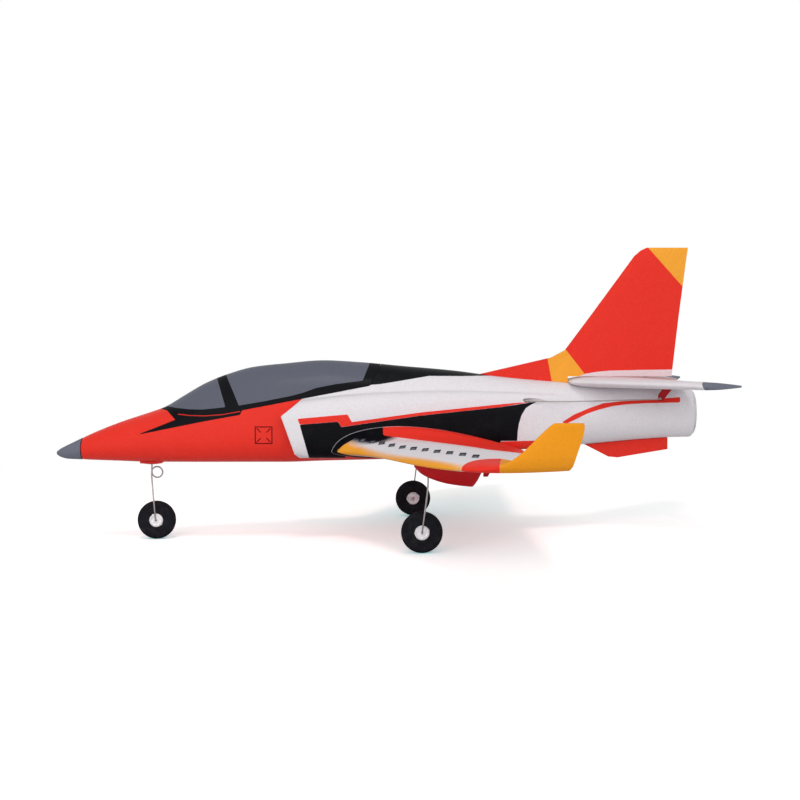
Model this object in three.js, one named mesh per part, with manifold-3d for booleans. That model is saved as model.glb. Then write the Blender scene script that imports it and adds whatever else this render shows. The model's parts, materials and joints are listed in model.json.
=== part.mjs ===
// A small radio-controlled jet in moulded foam, with a ducted fan inside and fixed wire undercarriage.
// Millimetres, +Z up, nose towards -X. Inside the airframe X runs aft from the nose tip, Y towards the
// aircraft's right and Z up from the fan's centre line; the airframe then sits nose-up on its wheels.
import * as THREE from 'three';
import { mergeVertices } from 'three/addons/utils/BufferGeometryUtils.js';
import Module from 'manifold-3d';

const wasm = await Module();
wasm.setup();

// Clearances
const seamGap = 0.3;      // between pieces that are glued together or rest on each other
const runGap = 0.1;       // round a shaft or wire that turns
const pivotGap = 0.35;    // round a wire end in a horn or arm
const besideGap = 0.5;    // between a rod and the horn or arm that it runs beside
const tipGap = 0.5;       // between the rotor's blades and the housing
const endGap = 0.7;       // at the ends of an aileron or elevator, whose hinge is swept
const overrun = 14;       // how far a cutting solid runs past what it cuts
const weldSize = 0.0005;  // vertices closer than this are one

// Fuselage
const fuselageLength = 633;
const noseConeLength = 26;
const profileHeight = 100;  // height that the shares of the side profile are taken of
const bodyWidth = 76;
const cheekReach = 57.5;    // centre line to the outside of an intake cheek
const cheekInner = 16;      // where a cheek is buried in the body
const hatchFront = 106.5;
const hatchRear = 311.7;
const hatchRearLean = 12;   // how much further aft the hatch's rear edge is at its top
const hatchSillFront = 4.2;
const hatchSillRear = 27.8;
const hatchSillBreak = 186; // where the sill begins to climb
const hatchSillSag = 4;     // how far it sags between its front and there
const hatchTop = 49.4;
const hatchWall = 5;

// Equipment bay
const bayFront = 84;
const bayStep = 140;        // where the narrow steering well meets the bay
const bayRear = 280;
const bayFloor = -38;
const bayHalfWidth = 21;
const wellHalfWidth = 14;
const wellRoof = -14;

// Air ducts and fan
const mouthInner = 38.5;   // centre line to the inner wall of an intake mouth
const mouthOuter = 52.5;
const fanFace = 392;
const fanLength = 54;
const fanRadius = 25.2;    // inside of the fan housing
const fanWall = 2.3;
const hubRadius = 11;
const motorRadius = 10;
const motorLength = 26;
const shaftRadius = 1.5;
const shaftDepth = 13;     // how far the motor takes the shaft
const rotorLength = 16;
const bladeCount = 8;
const bladeChord = 12;
const bladeThickness = 1.3;
const bladeRootPitch = THREE.MathUtils.degToRad(48);
const bladeTipPitch = THREE.MathUtils.degToRad(28);
const statorCount = 5;
const statorThickness = 1.4;
const nozzleRadius = 21.6; // outside of the exhaust tube at its rear end
const tubeWall = 0.9;
const nozzleStep = 2;      // how far the tube stands out of the fuselage

// Wing
const semiSpan = 327.7;
const wingRootLead = 278.4;
const wingRootChord = 178.6;
const wingRootHeight = -34.2;
const wingRise = 45.5;      // root height to winglet top
const wingDepth = 16;
const trailingThickness = 1.5;
const wingPanelReach = 30;   // centre line to where a panel ends inside the fuselage
const wingTipLength = 29.7;  // outer end of an aileron to the wing's tip
const aileronTravel = THREE.MathUtils.degToRad(20);
const sparRadius = 2;
const sparReach = 88;
const sparBehindLead = 71.6; // wing's leading edge at the root to the spar
const sparHeight = -33.2;

// Tail
const tailHeight = 31;
const tailReach = 129;
const tailLeadAhead = 123.7; // tailplane's leading edge at the root to the fuselage's rear end
const tailRootChord = 112.7;
const tailDepth = 10;
const elevatorInner = 25;
const elevatorOuter = 116;
const elevatorHingeInset = 83.2; // tailplane's leading edge at the root to the hinge's inner end
const elevatorHingeSweep = 29.5;
const elevatorTravel = THREE.MathUtils.degToRad(18);
const finLeadAhead = 152;    // fin's leading edge at its base to the fuselage's rear end
const finTrailAhead = 20;
const finBase = 28;
const finRise = 136.5;
const finSweep = 107;       // how far aft of the base the leading edge is at the top
const finDepth = 10;
const dorsalLength = 61.5;   // how far the dorsal strake runs ahead of the fin
const dorsalKneeBehind = 12;
const dorsalHeight = 55;
const dorsalFoot = 38;
const dorsalDepth = 6;
const ventralAhead = 109.3;  // ventral fin's front to the fuselage's rear end
const ventralLength = 86.5;
const ventralDrop = 46;
const ventralDepth = 5;

// Wing pods
const podReach = 135;
const podAheadOfHinge = 65.75; // pod's front to the aileron's hinge
const podLength = 62;
const podHalfWidth = 14.5;
const podBottom = -58.8;
const podTop = -28;
const podWall = 1.8;
const podRearWall = 5;
const podRoundness = 4.2;

// Servos and linkage
const servoLength = 19;
const servoThickness = 8;
const servoHeight = 14;
const servoShaftInset = 5;  // output shaft to the nearer end of the case
const servoBossRadius = 2.8;
const servoBossHeight = 2.2;
const servoTabLength = 3.5;
const servoTabThickness = 1.2;
const armThickness = 1.4;
const armWidth = 4;
const rodRadius = 0.6;
const aileronArm = 12;      // hinge to rod, and servo shaft to rod
const aileronRodSpan = 30.4;
const hornBesidePod = 2;     // pod's middle to the aileron's horn, outboard
const aileronBesidePod = 10; // pod's middle to the aileron's inner end, inboard
const aileronHornDepth = 20;
const aileronServoDrop = 9;  // hinge line down to the servo shaft
const elevatorArm = 15.8;
const elevatorHornReach = 35;
const elevatorHornDepth = 18;
const hornThickness = 1.6;
const hornBase = 10;
const elevatorServoAhead = 62; // servo's shaft to the fan's front
const elevatorServoHeight = 33.5;
const barrelHalfLength = 5;  // cross barrel that takes both elevator rods
const elevatorRodBend = 2.5; // size of the bends at the rods' ends
const elevatorRodBeside = 3.3; // horn's side to the rod beside it, room for the elevator's travel
const barrelRadius = 2;
const tunnelRadius = 3;
const servoChannelRoof = 20;
const servoChannelFloor = 13.5;
const servoCaveAhead = 9.5;  // servo's shaft to the cave's front wall
const servoCaveBehind = 19;
const servoCaveRoof = 38.5;
const servoCaveLeft = 14.5;
const servoCaveRight = 19;
const steeringArm = 10;

// Undercarriage
const wireRadius = 0.75;
const wheelRadius = 19;
const hubRimRadius = 6.7;
const tyreWidth = 12;
const hubWidth = 14;
const capRadius = 2.2;
const capWidth = 2;
const noseAxleX = 99;
const noseAxleHeight = -106.7;
const noseLegX = 94.5;
const wheelClearance = 3;    // hub's face to the leg beside it
const springRadius = 5.4;
const springPitch = 2.3;
const springHeight = -58.8;
const mainAxleHeight = -101.2;
const legBesidePod = 5;      // pod's middle to the main leg, outboard
const mainLegBehind = 13.5;  // pod's front to the leg
const mainLegSweep = 5;      // how far the leg leans forward
const mainLegTop = -38.5;
const wireBend = 2;          // how far from a corner a bent wire leaves its line
const noseMountLength = 21;
const noseMountWidth = 14;
const noseMountTop = -30;
const noseFootLength = 24;
const noseFootWidth = 18;
const noseFootDepth = 2.6;  // half height of the mount's domed foot
const bellyHeight = -48.5;

// Equipment
const trayThickness = 1.5;
const batteryLength = 70;
const batteryWidth = 34;
const batteryHeight = 20;
const batteryX = 188;
const strapWidth = 16;
const strapThickness = 0.9;
const controllerX = 252;
const controllerLength = 42;
const controllerWidth = 24;
const controllerHeight = 8;
const receiverLength = 34;
const receiverWidth = 20;
const receiverHeight = 10;
const steeringServoX = 126;
const magnetRadius = 3;
const magnetThickness = 2;
const magnetX = 297;

// Facets
const bodySides = 24;
const cheekSides = 16;
const foilSteps = 7;
const roundSides = 28;
const wheelSides = 24;
const smallSides = 10;
const wireSides = 8;
const sagSteps = 10;

// Side profile and width: station, top, bottom and widest height, half width, roundness above and below
const bodyStationShares = [
  [0.041, -0.247, -0.461, -0.359, 0.161, 2, 2],
  [0.055, -0.205, -0.465, -0.34, 0.19, 2, 2],
  [0.1, -0.09, -0.475, -0.31, 0.265, 2, 2.1],
  [0.15, 0.015, -0.485, -0.27, 0.345, 2, 2.2],
  [0.17, 0.06, -0.485, -0.255, 0.375, 1.9, 2.3],
  [0.2, 0.172, -0.485, -0.24, 0.405, 1.85, 2.4],
  [0.235, 0.3, -0.485, -0.225, 0.435, 1.8, 2.5],
  [0.27, 0.39, -0.485, -0.21, 0.46, 1.8, 2.5],
  [0.31, 0.46, -0.485, -0.195, 0.485, 1.8, 2.5],
  [0.36, 0.495, -0.485, -0.18, 0.5, 1.8, 2.6],
  [0.42, 0.525, -0.473, -0.16, 0.5, 1.8, 2.6],
  [0.48, 0.505, -0.465, -0.14, 0.49, 1.8, 2.6],
  [0.54, 0.47, -0.455, -0.1, 0.475, 1.85, 2.6],
  [0.62, 0.425, -0.42, -0.05, 0.46, 1.9, 2.4],
  [0.7, 0.36, -0.385, -0.02, 0.445, 1.95, 2.2],
  [0.78, 0.315, -0.347, -0.01, 0.41, 2, 2.1],
  [0.86, 0.295, -0.3, 0, 0.375, 2, 2],
  [0.93, 0.28, -0.262, 0, 0.35, 2, 2],
  [0.975, 0.262, -0.247, 0, 0.335, 2, 2],
  [1, 0.245, -0.245, 0, 0.322, 2, 2],
];
// Nose cone: station along the cone, top, bottom and widest height, half width
const noseStationShares = [
  [0.05, -0.375, -0.418, -0.397, 0.028],
  [0.19, -0.35, -0.438, -0.394, 0.06],
  [0.43, -0.318, -0.454, -0.388, 0.1],
  [0.8, -0.272, -0.459, -0.37, 0.142],
  [1, -0.247, -0.461, -0.359, 0.161],
];
const noseTipShare = -0.395;
// Cheeks: station, outside, top and bottom
const cheekStationShares = [
  [0.345, 0.957, 0.12, -0.4],
  [0.395, 0.983, 0.15, -0.42],
  [0.458, 1, 0.195, -0.425],
  [0.521, 0.974, 0.22, -0.42],
  [0.6, 0.887, 0.23, -0.4],
  [0.68, 0.757, 0.22, -0.37],
  [0.758, 0.6, 0.2, -0.32],
  [0.82, 0.47, 0.17, -0.27],
];
const cheekRoundness = 3;
// Slanted lip of a cheek in the side view, bottom to top: station and height
const lipShares = [
  [0.4, -0.46],
  [0.398, -0.405],
  [0.3775, -0.37],
  [0.357, -0.005],
  [0.376, 0.09],
  [0.39, 0.165],
  [0.394, 0.3],
];
// Air duct from a mouth to the fan: station, inner and outer side, bottom, top
const ductStationShares = [
  [0.33, 0, 1, -0.345, 0.065],
  [0.4, 0, 1, -0.345, 0.065],
  [0.474, -0.68, 0.75, -0.315, 0.075],
  [0.537, -1.79, 0, -0.27, 0.11],
  [0.592, -2.7, -0.93, -0.24, 0.18],
  [0.615, -2.72, -1, -0.22, 0.21],
];
// Wing: reach, leading edge, trailing edge, height, upper and lower fullness, tilt in quarter turns
const wingStationShares = [
  [0.06, -0.13, 0.997, -0.011, 1.5, 0.44, 0.02],
  [0.146, -0.045, 1.002, 0.006, 1.44, 0.44, 0.02],
  [0.171, -0.014, 1.003, 0.011, 1.06, 0.375, 0.02],
  [0.201, 0.036, 1.006, 0.018, 0.81, 0.34, 0.02],
  [0.244, 0.094, 1.008, 0.026, 0.675, 0.31, 0.02],
  [0.922, 0.589, 1.052, 0.158, 0.325, 0.15, 0.02],
  [0.958, 0.647, 1.054, 0.18, 0.25, 0.138, 0.17],
  [0.981, 0.748, 1.064, 0.257, 0.19, 0.138, 0.55],
  [0.992, 0.818, 1.076, 0.422, 0.15, 0.138, 0.87],
  [0.999, 0.964, 1.11, 0.96, 0.138, 0.125, 0.93],
  [1, 0.978, 1.106, 1, 0.06, 0.06, 0.93],
];
// Tailplane: reach, leading edge, trailing edge, fullness
const tailStationShares = [
  [0, 0, 1, 1],
  [0.17, 0, 1, 1],
  [0.93, 0.86, 1.24, 0.68],
  [0.975, 0.905, 1.255, 0.6],
  [0.993, 0.95, 1.25, 0.42],
  [1, 0.99, 1.22, 0.15],
];
// Fin: height, leading edge, trailing edge, fullness
const finStationShares = [
  [0, 0, 0, 1],
  [0.5, 0.475, 0.07, 0.78],
  [0.94, 0.885, 0.14, 0.56],
  [0.98, 0.945, 0.148, 0.46],
  [1, 1, 0.15, 0.2],
];
const finTrailLean = 107;   // length that the trailing edge's shares are taken of
// Ventral fin in the side view: share of its length, share of its drop
const ventralShares = [
  [0, 0.66],
  [0.5, 0.6],
  [1, 0.52],
  [1, 0.8],
  [0.42, 0.98],
  [0.31, 0.96],
];
// Pod: station along it, half width, depth
const podStationShares = [
  [0.02, 0.25, 0.42],
  [0.12, 0.62, 0.62],
  [0.28, 0.86, 0.78],
  [0.5, 0.98, 0.91],
  [0.76, 1, 0.985],
  [0.86, 0.98, 1],
  [0.92, 0.965, 0.88],
  [1, 0.94, 0.58],
];
// Elevator rod past the fan and out of the side: share of its length, reach and height
const elevatorRodShares = [
  [0.073, 0.365, 0.196],
  [0.153, 0.534, 0.214],
  [0.233, 0.672, 0.202],
  [0.422, 0.807, 0.146],
  [0.589, 0.901, 0.128],
  [0.836, 0.99, 0.139],
];
const foilShares = [0.2969, -0.126, -0.3516, 0.2843, -0.1015];
const foilHingeShare = 0.69;
const servoTabShare = 0.25;  // how far down the case the mounting tabs are
const coneFillShare = 0.96;  // how much of the surface's depth a hinge nose fills

const paint = (color, roughness, metalness = 0) =>
  new THREE.MeshStandardMaterial({ color, roughness, metalness });
const materials = {
  redFoam: paint(0xe8382d, 0.45),
  whiteFoam: paint(0xe6e3e6, 0.55),
  orangeFoam: paint(0xe9962a, 0.45),
  darkFoam: paint(0x0f1118, 0.5),
  greyFoam: paint(0x696c78, 0.5),
  glazing: paint(0x62656f, 0.3),
  podRed: paint(0xa5000f, 0.45),
  tyreFoam: paint(0x232328, 0.9),
  whitePlastic: paint(0xf0f0f2, 0.4),
  redPlastic: paint(0x8a1016, 0.5),
  blackPlastic: paint(0x16171a, 0.5),
  bluePlastic: paint(0x2a4f8f, 0.5),
  steel: paint(0xc4c6c9, 0.3, 1),
  magnetSteel: paint(0xb0b2b6, 0.25, 1),
  motorMetal: paint(0x8f949c, 0.35, 1),
  carbon: paint(0x1b1c1f, 0.45),
  plywood: paint(0xc9a878, 0.7),
  strapWeb: paint(0x1c1c1f, 0.9),
};

const airframe = new THREE.Group();
const at = (x, y, z) => new THREE.Vector3(x, y, z);
const sides = [['left', -1], ['right', 1]];

// Places that follow the sizes and tables above
const aileronInner = podReach - aileronBesidePod;
const aileronOuter = semiSpan - wingTipLength;
const aileronHornReach = podReach + hornBesidePod;
const mainLegReach = podReach + legBesidePod;
const mainWheelReach = mainLegReach - wheelClearance - hubWidth / 2;
const noseLegOffset = hubWidth / 2 + wheelClearance;
const tailRootLead = fuselageLength - tailLeadAhead;
const elevatorHingeInner = tailRootLead + elevatorHingeInset;
const elevatorHingeOuter = elevatorHingeInner + elevatorHingeSweep;
const finBaseLead = fuselageLength - finLeadAhead;
const finBaseTrail = fuselageLength - finTrailAhead;
const dorsalFront = finBaseLead - dorsalLength;
const dorsalKnee = finBaseLead + dorsalKneeBehind;
const ventralFront = fuselageLength - ventralAhead;
const sparX = wingRootLead + sparBehindLead;
const elevatorServoX = fanFace - elevatorServoAhead;
const servoCaveFront = elevatorServoX - servoCaveAhead;
const servoCaveRear = elevatorServoX + servoCaveBehind;
const podFront = wingHinge(1, aileronHornReach).point.x - podAheadOfHinge;
const mainLegX = podFront + mainLegBehind;
const mainAxleX = mainLegX - mainLegSweep;

function add(name, shape, material, parent = airframe) {
  const geometry = shape.getMesh ? geometryOf(shape) : closedGeometry(shape);
  const mesh = new THREE.Mesh(geometry, material);
  mesh.name = name;
  parent.add(mesh);
  return mesh;
}

// One closed surface: shared vertices merged, faces without area dropped, faces turned outwards
function closedGeometry(source) {
  const bare = new THREE.BufferGeometry();
  bare.setAttribute('position', source.getAttribute('position').clone());
  if (source.index) bare.setIndex(source.index.clone());
  const merged = mergeVertices(bare, weldSize);
  const place = merged.getAttribute('position');
  const index = merged.index.array;
  const faces = [];
  const [a, b, c] = [at(0, 0, 0), at(0, 0, 0), at(0, 0, 0)];
  let volume = 0;
  for (let i = 0; i < index.length; i += 3) {
    const [p, q, r] = [index[i], index[i + 1], index[i + 2]];
    if (p === q || q === r || r === p) continue;
    faces.push([p, q, r]);
    a.fromBufferAttribute(place, p);
    b.fromBufferAttribute(place, q);
    c.fromBufferAttribute(place, r);
    volume += a.dot(b.cross(c));
  }
  merged.setIndex(faces.flatMap(([p, q, r]) => (volume < 0 ? [p, r, q] : [p, q, r])));
  return merged;
}

function solidOf(source) {
  if (source.getMesh) return source;
  const geometry = closedGeometry(source);
  const mesh = new wasm.Mesh({
    numProp: 3,
    vertProperties: new Float32Array(geometry.getAttribute('position').array),
    triVerts: new Uint32Array(geometry.index.array),
  });
  return new wasm.Manifold(mesh);
}

function geometryOf(solid) {
  const { vertProperties, triVerts } = solid.getMesh();
  const geometry = new THREE.BufferGeometry();
  geometry.setAttribute('position', new THREE.BufferAttribute(new Float32Array(vertProperties), 3));
  geometry.setIndex(new THREE.BufferAttribute(new Uint32Array(triVerts), 1));
  return closedGeometry(geometry);
}

const joined = (...parts) => parts.map(solidOf).reduce((whole, part) => whole.add(part));
const cut = (whole, ...tools) =>
  tools.map(solidOf).reduce((rest, tool) => rest.subtract(tool), solidOf(whole));
const common = (a, b) => solidOf(a).intersect(solidOf(b));

// A closed skin through rings of equal count, ended by fans to a tip or to the end ring's middle
function loft(rings, startTip = middleOf(rings[0]), endTip = middleOf(rings.at(-1))) {
  const count = rings[0].length;
  const points = [...rings.flat(), startTip, endTip];
  const [start, end] = [points.length - 2, points.length - 1];
  const lastRing = (rings.length - 1) * count;
  const index = [];
  for (let j = 0; j < count; j += 1) {
    const next = (j + 1) % count;
    index.push(start, next, j, end, lastRing + j, lastRing + next);
    for (let i = 0; i < rings.length - 1; i += 1) {
      const [near, far] = [i * count, (i + 1) * count];
      index.push(near + j, near + next, far + next, near + j, far + next, far + j);
    }
  }
  const geometry = new THREE.BufferGeometry().setFromPoints(points);
  geometry.setIndex(index);
  return geometry;
}

function middleOf(ring) {
  return ring.reduce((sum, point) => sum.add(point), at(0, 0, 0)).divideScalar(ring.length);
}

// Rounded section across X, wider or narrower above and below its widest height
function section(x, centre, widest, halfWidth, up, down, powerUp, powerDown, count) {
  const ring = [];
  for (let i = 0; i < count; i += 1) {
    const angle = (2 * Math.PI * i) / count;
    const [across, rise] = [Math.cos(angle), Math.sin(angle)];
    const power = rise >= 0 ? powerUp : powerDown;
    const height = rise >= 0 ? up : down;
    const y = centre + halfWidth * Math.sign(across) * Math.abs(across) ** (2 / power);
    ring.push(at(x, y, widest + height * Math.sign(rise) * Math.abs(rise) ** (2 / power)));
  }
  return ring;
}

function box(low, high) {
  const size = high.clone().sub(low);
  return new THREE.BoxGeometry(size.x, size.y, size.z).translate(...low.clone().add(high).divideScalar(2));
}

// Outline in X and Z, pulled across Y between two places
function sidePlate(outline, fromY, toY) {
  const shape = new THREE.Shape(outline.map(([x, z]) => new THREE.Vector2(x, z)));
  const plate = new THREE.ExtrudeGeometry(shape, { depth: toY - fromY, bevelEnabled: false });
  const turn = new THREE.Matrix4().makeBasis(at(1, 0, 0), at(0, 0, 1), at(0, -1, 0));
  return plate.applyMatrix4(turn).translate(0, toY, 0);
}

// Outline in X and Y, pulled up between two heights
function flatPlate(outline, fromZ, toZ) {
  const shape = new THREE.Shape(outline.map(([x, y]) => new THREE.Vector2(x, y)));
  const plate = new THREE.ExtrudeGeometry(shape, { depth: toZ - fromZ, bevelEnabled: false });
  return plate.translate(0, 0, fromZ);
}

// Round bar or cone between two points
function bar(from, to, radius, count = smallSides, endRadius = radius) {
  const along = to.clone().sub(from);
  const turn = new THREE.Quaternion().setFromUnitVectors(at(0, 1, 0), along.clone().normalize());
  const shape = new THREE.CylinderGeometry(endRadius, radius, along.length(), count);
  return shape.applyQuaternion(turn).translate(...from.clone().add(to).divideScalar(2));
}

function wireAlong(points, radius, steps, count = wireSides) {
  const profile = [];
  for (let i = 0; i < count; i += 1) {
    const angle = (2 * Math.PI * i) / count;
    profile.push(new THREE.Vector2(radius * Math.cos(angle), radius * Math.sin(angle)));
  }
  const extrudePath = new THREE.CatmullRomCurve3(points, false, 'centripetal');
  return new THREE.ExtrudeGeometry(new THREE.Shape(profile), { steps, extrudePath, bevelEnabled: false });
}

// Least gap between a wire and itself, over points that are at least half a loop apart along it
function leastGap(points, radius) {
  const path = new THREE.CatmullRomCurve3(points, false, 'centripetal');
  const count = 480;
  const places = path.getSpacedPoints(count);
  const apart = Math.ceil((Math.PI * springRadius * count) / path.getLength());
  let least = Infinity;
  for (let i = 0; i < places.length; i += 1) {
    for (let j = i + apart; j < places.length; j += 1) {
      least = Math.min(least, places[i].distanceTo(places[j]));
    }
  }
  return least - 2 * radius;
}

// Ring that closes on itself, turned about X between two stations
function ringAlongX(outline, count = roundSides) {
  const profile = [...outline, outline[0]].map(([x, radius]) => new THREE.Vector2(radius, x));
  const turn = new THREE.Matrix4().makeBasis(at(0, 1, 0), at(1, 0, 0), at(0, 0, 1));
  return new THREE.LatheGeometry(profile, count).applyMatrix4(turn);
}

// Axes of a linkage: X along the rod, Z up, Y along the pivot
function frameAt(origin, pivotLine) {
  const pivot = pivotLine.clone().normalize();
  if (pivot.y < 0) pivot.negate();
  const aft = pivot.clone().cross(at(0, 0, 1)).normalize();
  const up = aft.clone().cross(pivot);
  return new THREE.Matrix4().makeBasis(aft, pivot, up).setPosition(origin);
}

// Depth of the wing, tail and fin sections at a share of their chord
function foilFullness(share) {
  const powers = [Math.sqrt(share), share, share ** 2, share ** 3, share ** 4];
  return 10 * foilShares.reduce((sum, value, i) => sum + value * powers[i], 0);
}

// Points round a section as share of the chord and height over it
function foilPoints(upper, lower) {
  const points = [];
  for (let i = 0; i <= foilSteps; i += 1) {
    const share = (1 + Math.cos((Math.PI * i) / foilSteps)) / 2;
    points.push([share, upper * foilFullness(share) + (share * trailingThickness) / 2]);
  }
  for (let i = 1; i <= foilSteps; i += 1) {
    const share = (1 - Math.cos((Math.PI * i) / foilSteps)) / 2;
    points.push([share, -lower * foilFullness(share) - (share * trailingThickness) / 2]);
  }
  return points;
}

// Row of a table at a value of its first column
function rowAt(rows, value) {
  const last = rows.findIndex((row) => row[0] >= value);
  const high = last < 0 ? rows.length - 1 : Math.max(last, 1);
  const [low, up] = [rows[high - 1], rows[high]];
  const share = (value - low[0]) / (up[0] - low[0]);
  return low.map((item, i) => THREE.MathUtils.lerp(item, up[i], share));
}

// Stations run from the back of the nose cone to the fuselage's rear end
function stationX(station) {
  return THREE.MathUtils.mapLinear(station, bodyStationShares[0][0], 1, noseConeLength, fuselageLength);
}

// Fuselage, cheeks and ducts
function bodyShape(grow) {
  const rings = bodyStationShares.map((row, i) => {
    const [station, top, bottom, widest, half, powerUp, powerDown] = row;
    const ends = i === 0 ? -grow : i === bodyStationShares.length - 1 ? grow : 0;
    const [up, down] = [(top - widest) * profileHeight + grow, (widest - bottom) * profileHeight + grow];
    const halfWidth = half * bodyWidth + grow;
    const x = stationX(station) + ends;
    return section(x, 0, widest * profileHeight, halfWidth, up, down, powerUp, powerDown, bodySides);
  });
  return loft(rings);
}

function cheekShape(side, grow) {
  const rings = cheekStationShares.map(([station, outer, top, bottom]) => {
    const half = (outer * cheekReach - cheekInner) / 2 + grow;
    const middle = (side * (outer * cheekReach + cheekInner)) / 2;
    const height = ((top - bottom) * profileHeight) / 2 + grow;
    const centre = ((top + bottom) * profileHeight) / 2;
    const x = stationX(station);
    return section(x, middle, centre, half, height, height, cheekRoundness, cheekRoundness, cheekSides);
  });
  return loft(rings);
}

function lipCut() {
  const slope = lipShares.map(([station, height]) => [stationX(station), height * profileHeight]);
  const front = stationX(cheekStationShares[0][0]) - overrun;
  return sidePlate([[front, slope[0][1]], ...slope, [front, slope.at(-1)[1]]], -cheekReach - overrun,
    cheekReach + overrun);
}

function ductShape(side) {
  const mouthWidth = mouthOuter - mouthInner;
  const rings = ductStationShares.map(([station, inner, outer, bottom, top]) => {
    const [near, far] = [mouthInner + inner * mouthWidth, mouthInner + outer * mouthWidth];
    const height = ((top - bottom) * profileHeight) / 2;
    const centre = ((top + bottom) * profileHeight) / 2;
    const x = stationX(station);
    return section(x, (side * (near + far)) / 2, centre, (far - near) / 2, height, height,
      cheekRoundness, cheekRoundness, cheekSides);
  });
  return loft(rings);
}

const fanRear = fanFace + fanLength;
const pocketRadius = fanRadius + fanWall + seamGap;
const tubeFrontRadius = fanRadius + tubeWall;
const tubeFront = fanRear + seamGap;
const tubeRear = fuselageLength + nozzleStep;
const tubeRadiusAt = (x) =>
  THREE.MathUtils.mapLinear(x, tubeFront, tubeRear, tubeFrontRadius, nozzleRadius);
const sillSlope = (hatchSillRear - hatchSillFront) / (hatchRear - hatchSillBreak);
const sillAt = (x) => hatchSillRear - (hatchRear - x) * sillSlope;

// Steering well in the nose and the main bay behind it
function bayShape() {
  const well = box(at(bayFront, -wellHalfWidth, bayFloor), at(bayStep + seamGap, wellHalfWidth, wellRoof));
  const bay = box(at(bayStep, -bayHalfWidth, bayFloor), at(bayRear, bayHalfWidth, hatchTop + overrun));
  return joined(well, bay);
}

// Sill in the side view, from the hatch's front to where it begins to climb
function saggingSill(lift) {
  return Array.from({ length: sagSteps + 1 }, (_, i) => {
    const share = i / sagSteps;
    const sag = hatchSillSag * Math.sin(Math.PI * share);
    return [THREE.MathUtils.lerp(hatchFront, hatchSillBreak, share), hatchSillFront + lift - sag];
  });
}

function hatchRegion(lift, back) {
  const reach = bodyWidth + overrun;
  const lean = hatchRearLean / (hatchTop - hatchSillRear);
  const high = hatchTop + overrun + lift;
  return sidePlate([
    [hatchFront - overrun, hatchSillFront + lift],
    ...saggingSill(lift),
    [hatchRear - back, sillAt(hatchRear - back) + lift],
    [hatchRear - back + lean * (high - hatchSillRear), high],
    [hatchFront - overrun, high],
  ], -reach, reach);
}

function tailShape(grow) {
  const mirrored = [...tailStationShares].reverse().map((row) => [-row[0], ...row.slice(1)]);
  const rings = [...mirrored.slice(0, -1), ...tailStationShares].map(([reach, lead, trail, fullness]) => {
    const [front, rear] = [tailRootLead + lead * tailRootChord, tailRootLead + trail * tailRootChord];
    const half = (fullness * tailDepth) / 2;
    return foilPoints(half, half).map(([share, height]) => at(
      THREE.MathUtils.lerp(front - grow, rear + grow, share),
      reach * (tailReach + grow),
      tailHeight + height + Math.sign(height) * grow,
    ));
  });
  return loft(rings);
}

// Wing section data at a distance from the centre line
function wingRow(reachShare) {
  const [reach, lead, trail, height, upper, lower, tilt] = rowAt(wingStationShares, reachShare);
  return {
    reach: reach * semiSpan,
    lead: wingRootLead + lead * wingRootChord,
    trail: wingRootLead + trail * wingRootChord,
    height: wingRootHeight + height * wingRise,
    upper: upper * wingDepth,
    lower: lower * wingDepth,
    tilt: (tilt * Math.PI) / 2,
  };
}

function wingShape(side, grow) {
  const rings = wingStationShares.map((row) => {
    const station = wingRow(row[0]);
    return foilPoints(station.upper, station.lower).map(([share, height]) => {
      const rise = height + Math.sign(height) * grow;
      const x = THREE.MathUtils.lerp(station.lead - grow, station.trail + grow, share);
      const y = side * (station.reach - rise * Math.sin(station.tilt));
      return at(x, y, station.height + rise * Math.cos(station.tilt));
    });
  });
  return loft(rings);
}

// Splits a surface at its hinge: the fixed part gets a hollow, the moving part a round nose
function splitAtHinge(whole, inner, outer, travel) {
  const [low, high] = [Math.min(inner.point.y, outer.point.y), Math.max(inner.point.y, outer.point.y)];
  const slope = (outer.point.x - inner.point.x) / (outer.point.y - inner.point.y);
  const hingeX = (y) => inner.point.x + (y - inner.point.y) * slope;
  const behind = (grow) => flatPlate([
    [hingeX(low - grow), low - grow], [outer.rear, low - grow],
    [outer.rear, high + grow], [hingeX(high + grow), high + grow],
  ], outer.point.z - overrun, outer.point.z + overrun);
  const nose = (grow, radiusOf) => {
    const line = outer.point.clone().sub(inner.point);
    const spare = line.clone().normalize().multiplyScalar(overrun);
    const growth = (radiusOf(outer.half) - radiusOf(inner.half)) * (overrun / line.length());
    const cone = bar(inner.point.clone().sub(spare), outer.point.clone().add(spare),
      radiusOf(inner.half) - growth, roundSides, radiusOf(outer.half) + growth);
    const front = Math.min(inner.point.x, outer.point.x) - overrun;
    return common(cone, box(at(front, low - grow, outer.point.z - overrun),
      at(outer.rear, high + grow, outer.point.z + overrun)));
  };
  const moving = joined(common(whole, behind(0)), nose(0, (half) => half * coneFillShare));
  const hollow = nose(endGap, (half) => half / Math.cos(travel) + seamGap);
  return { moving, fixed: cut(whole, behind(endGap), hollow) };
}

// Servo with its output shaft at the origin, pointing along Z, and its case towards +X
function servoShape(grow = 0) {
  const half = servoThickness / 2 + grow;
  const [front, rear] = [-servoShaftInset, servoLength - servoShaftInset];
  const tabTop = -servoBossHeight - servoHeight * servoTabShare;
  const body = box(at(front - grow, -half, -servoBossHeight - servoHeight - grow),
    at(rear + grow, half, -servoBossHeight + grow));
  const tabs = box(at(front - servoTabLength - grow, -half, tabTop - servoTabThickness - grow),
    at(rear + servoTabLength + grow, half, tabTop + grow));
  const boss = bar(at(0, 0, -servoBossHeight - servoBossRadius), at(0, 0, 0), servoBossRadius + grow);
  return joined(body, tabs, boss);
}

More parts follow.
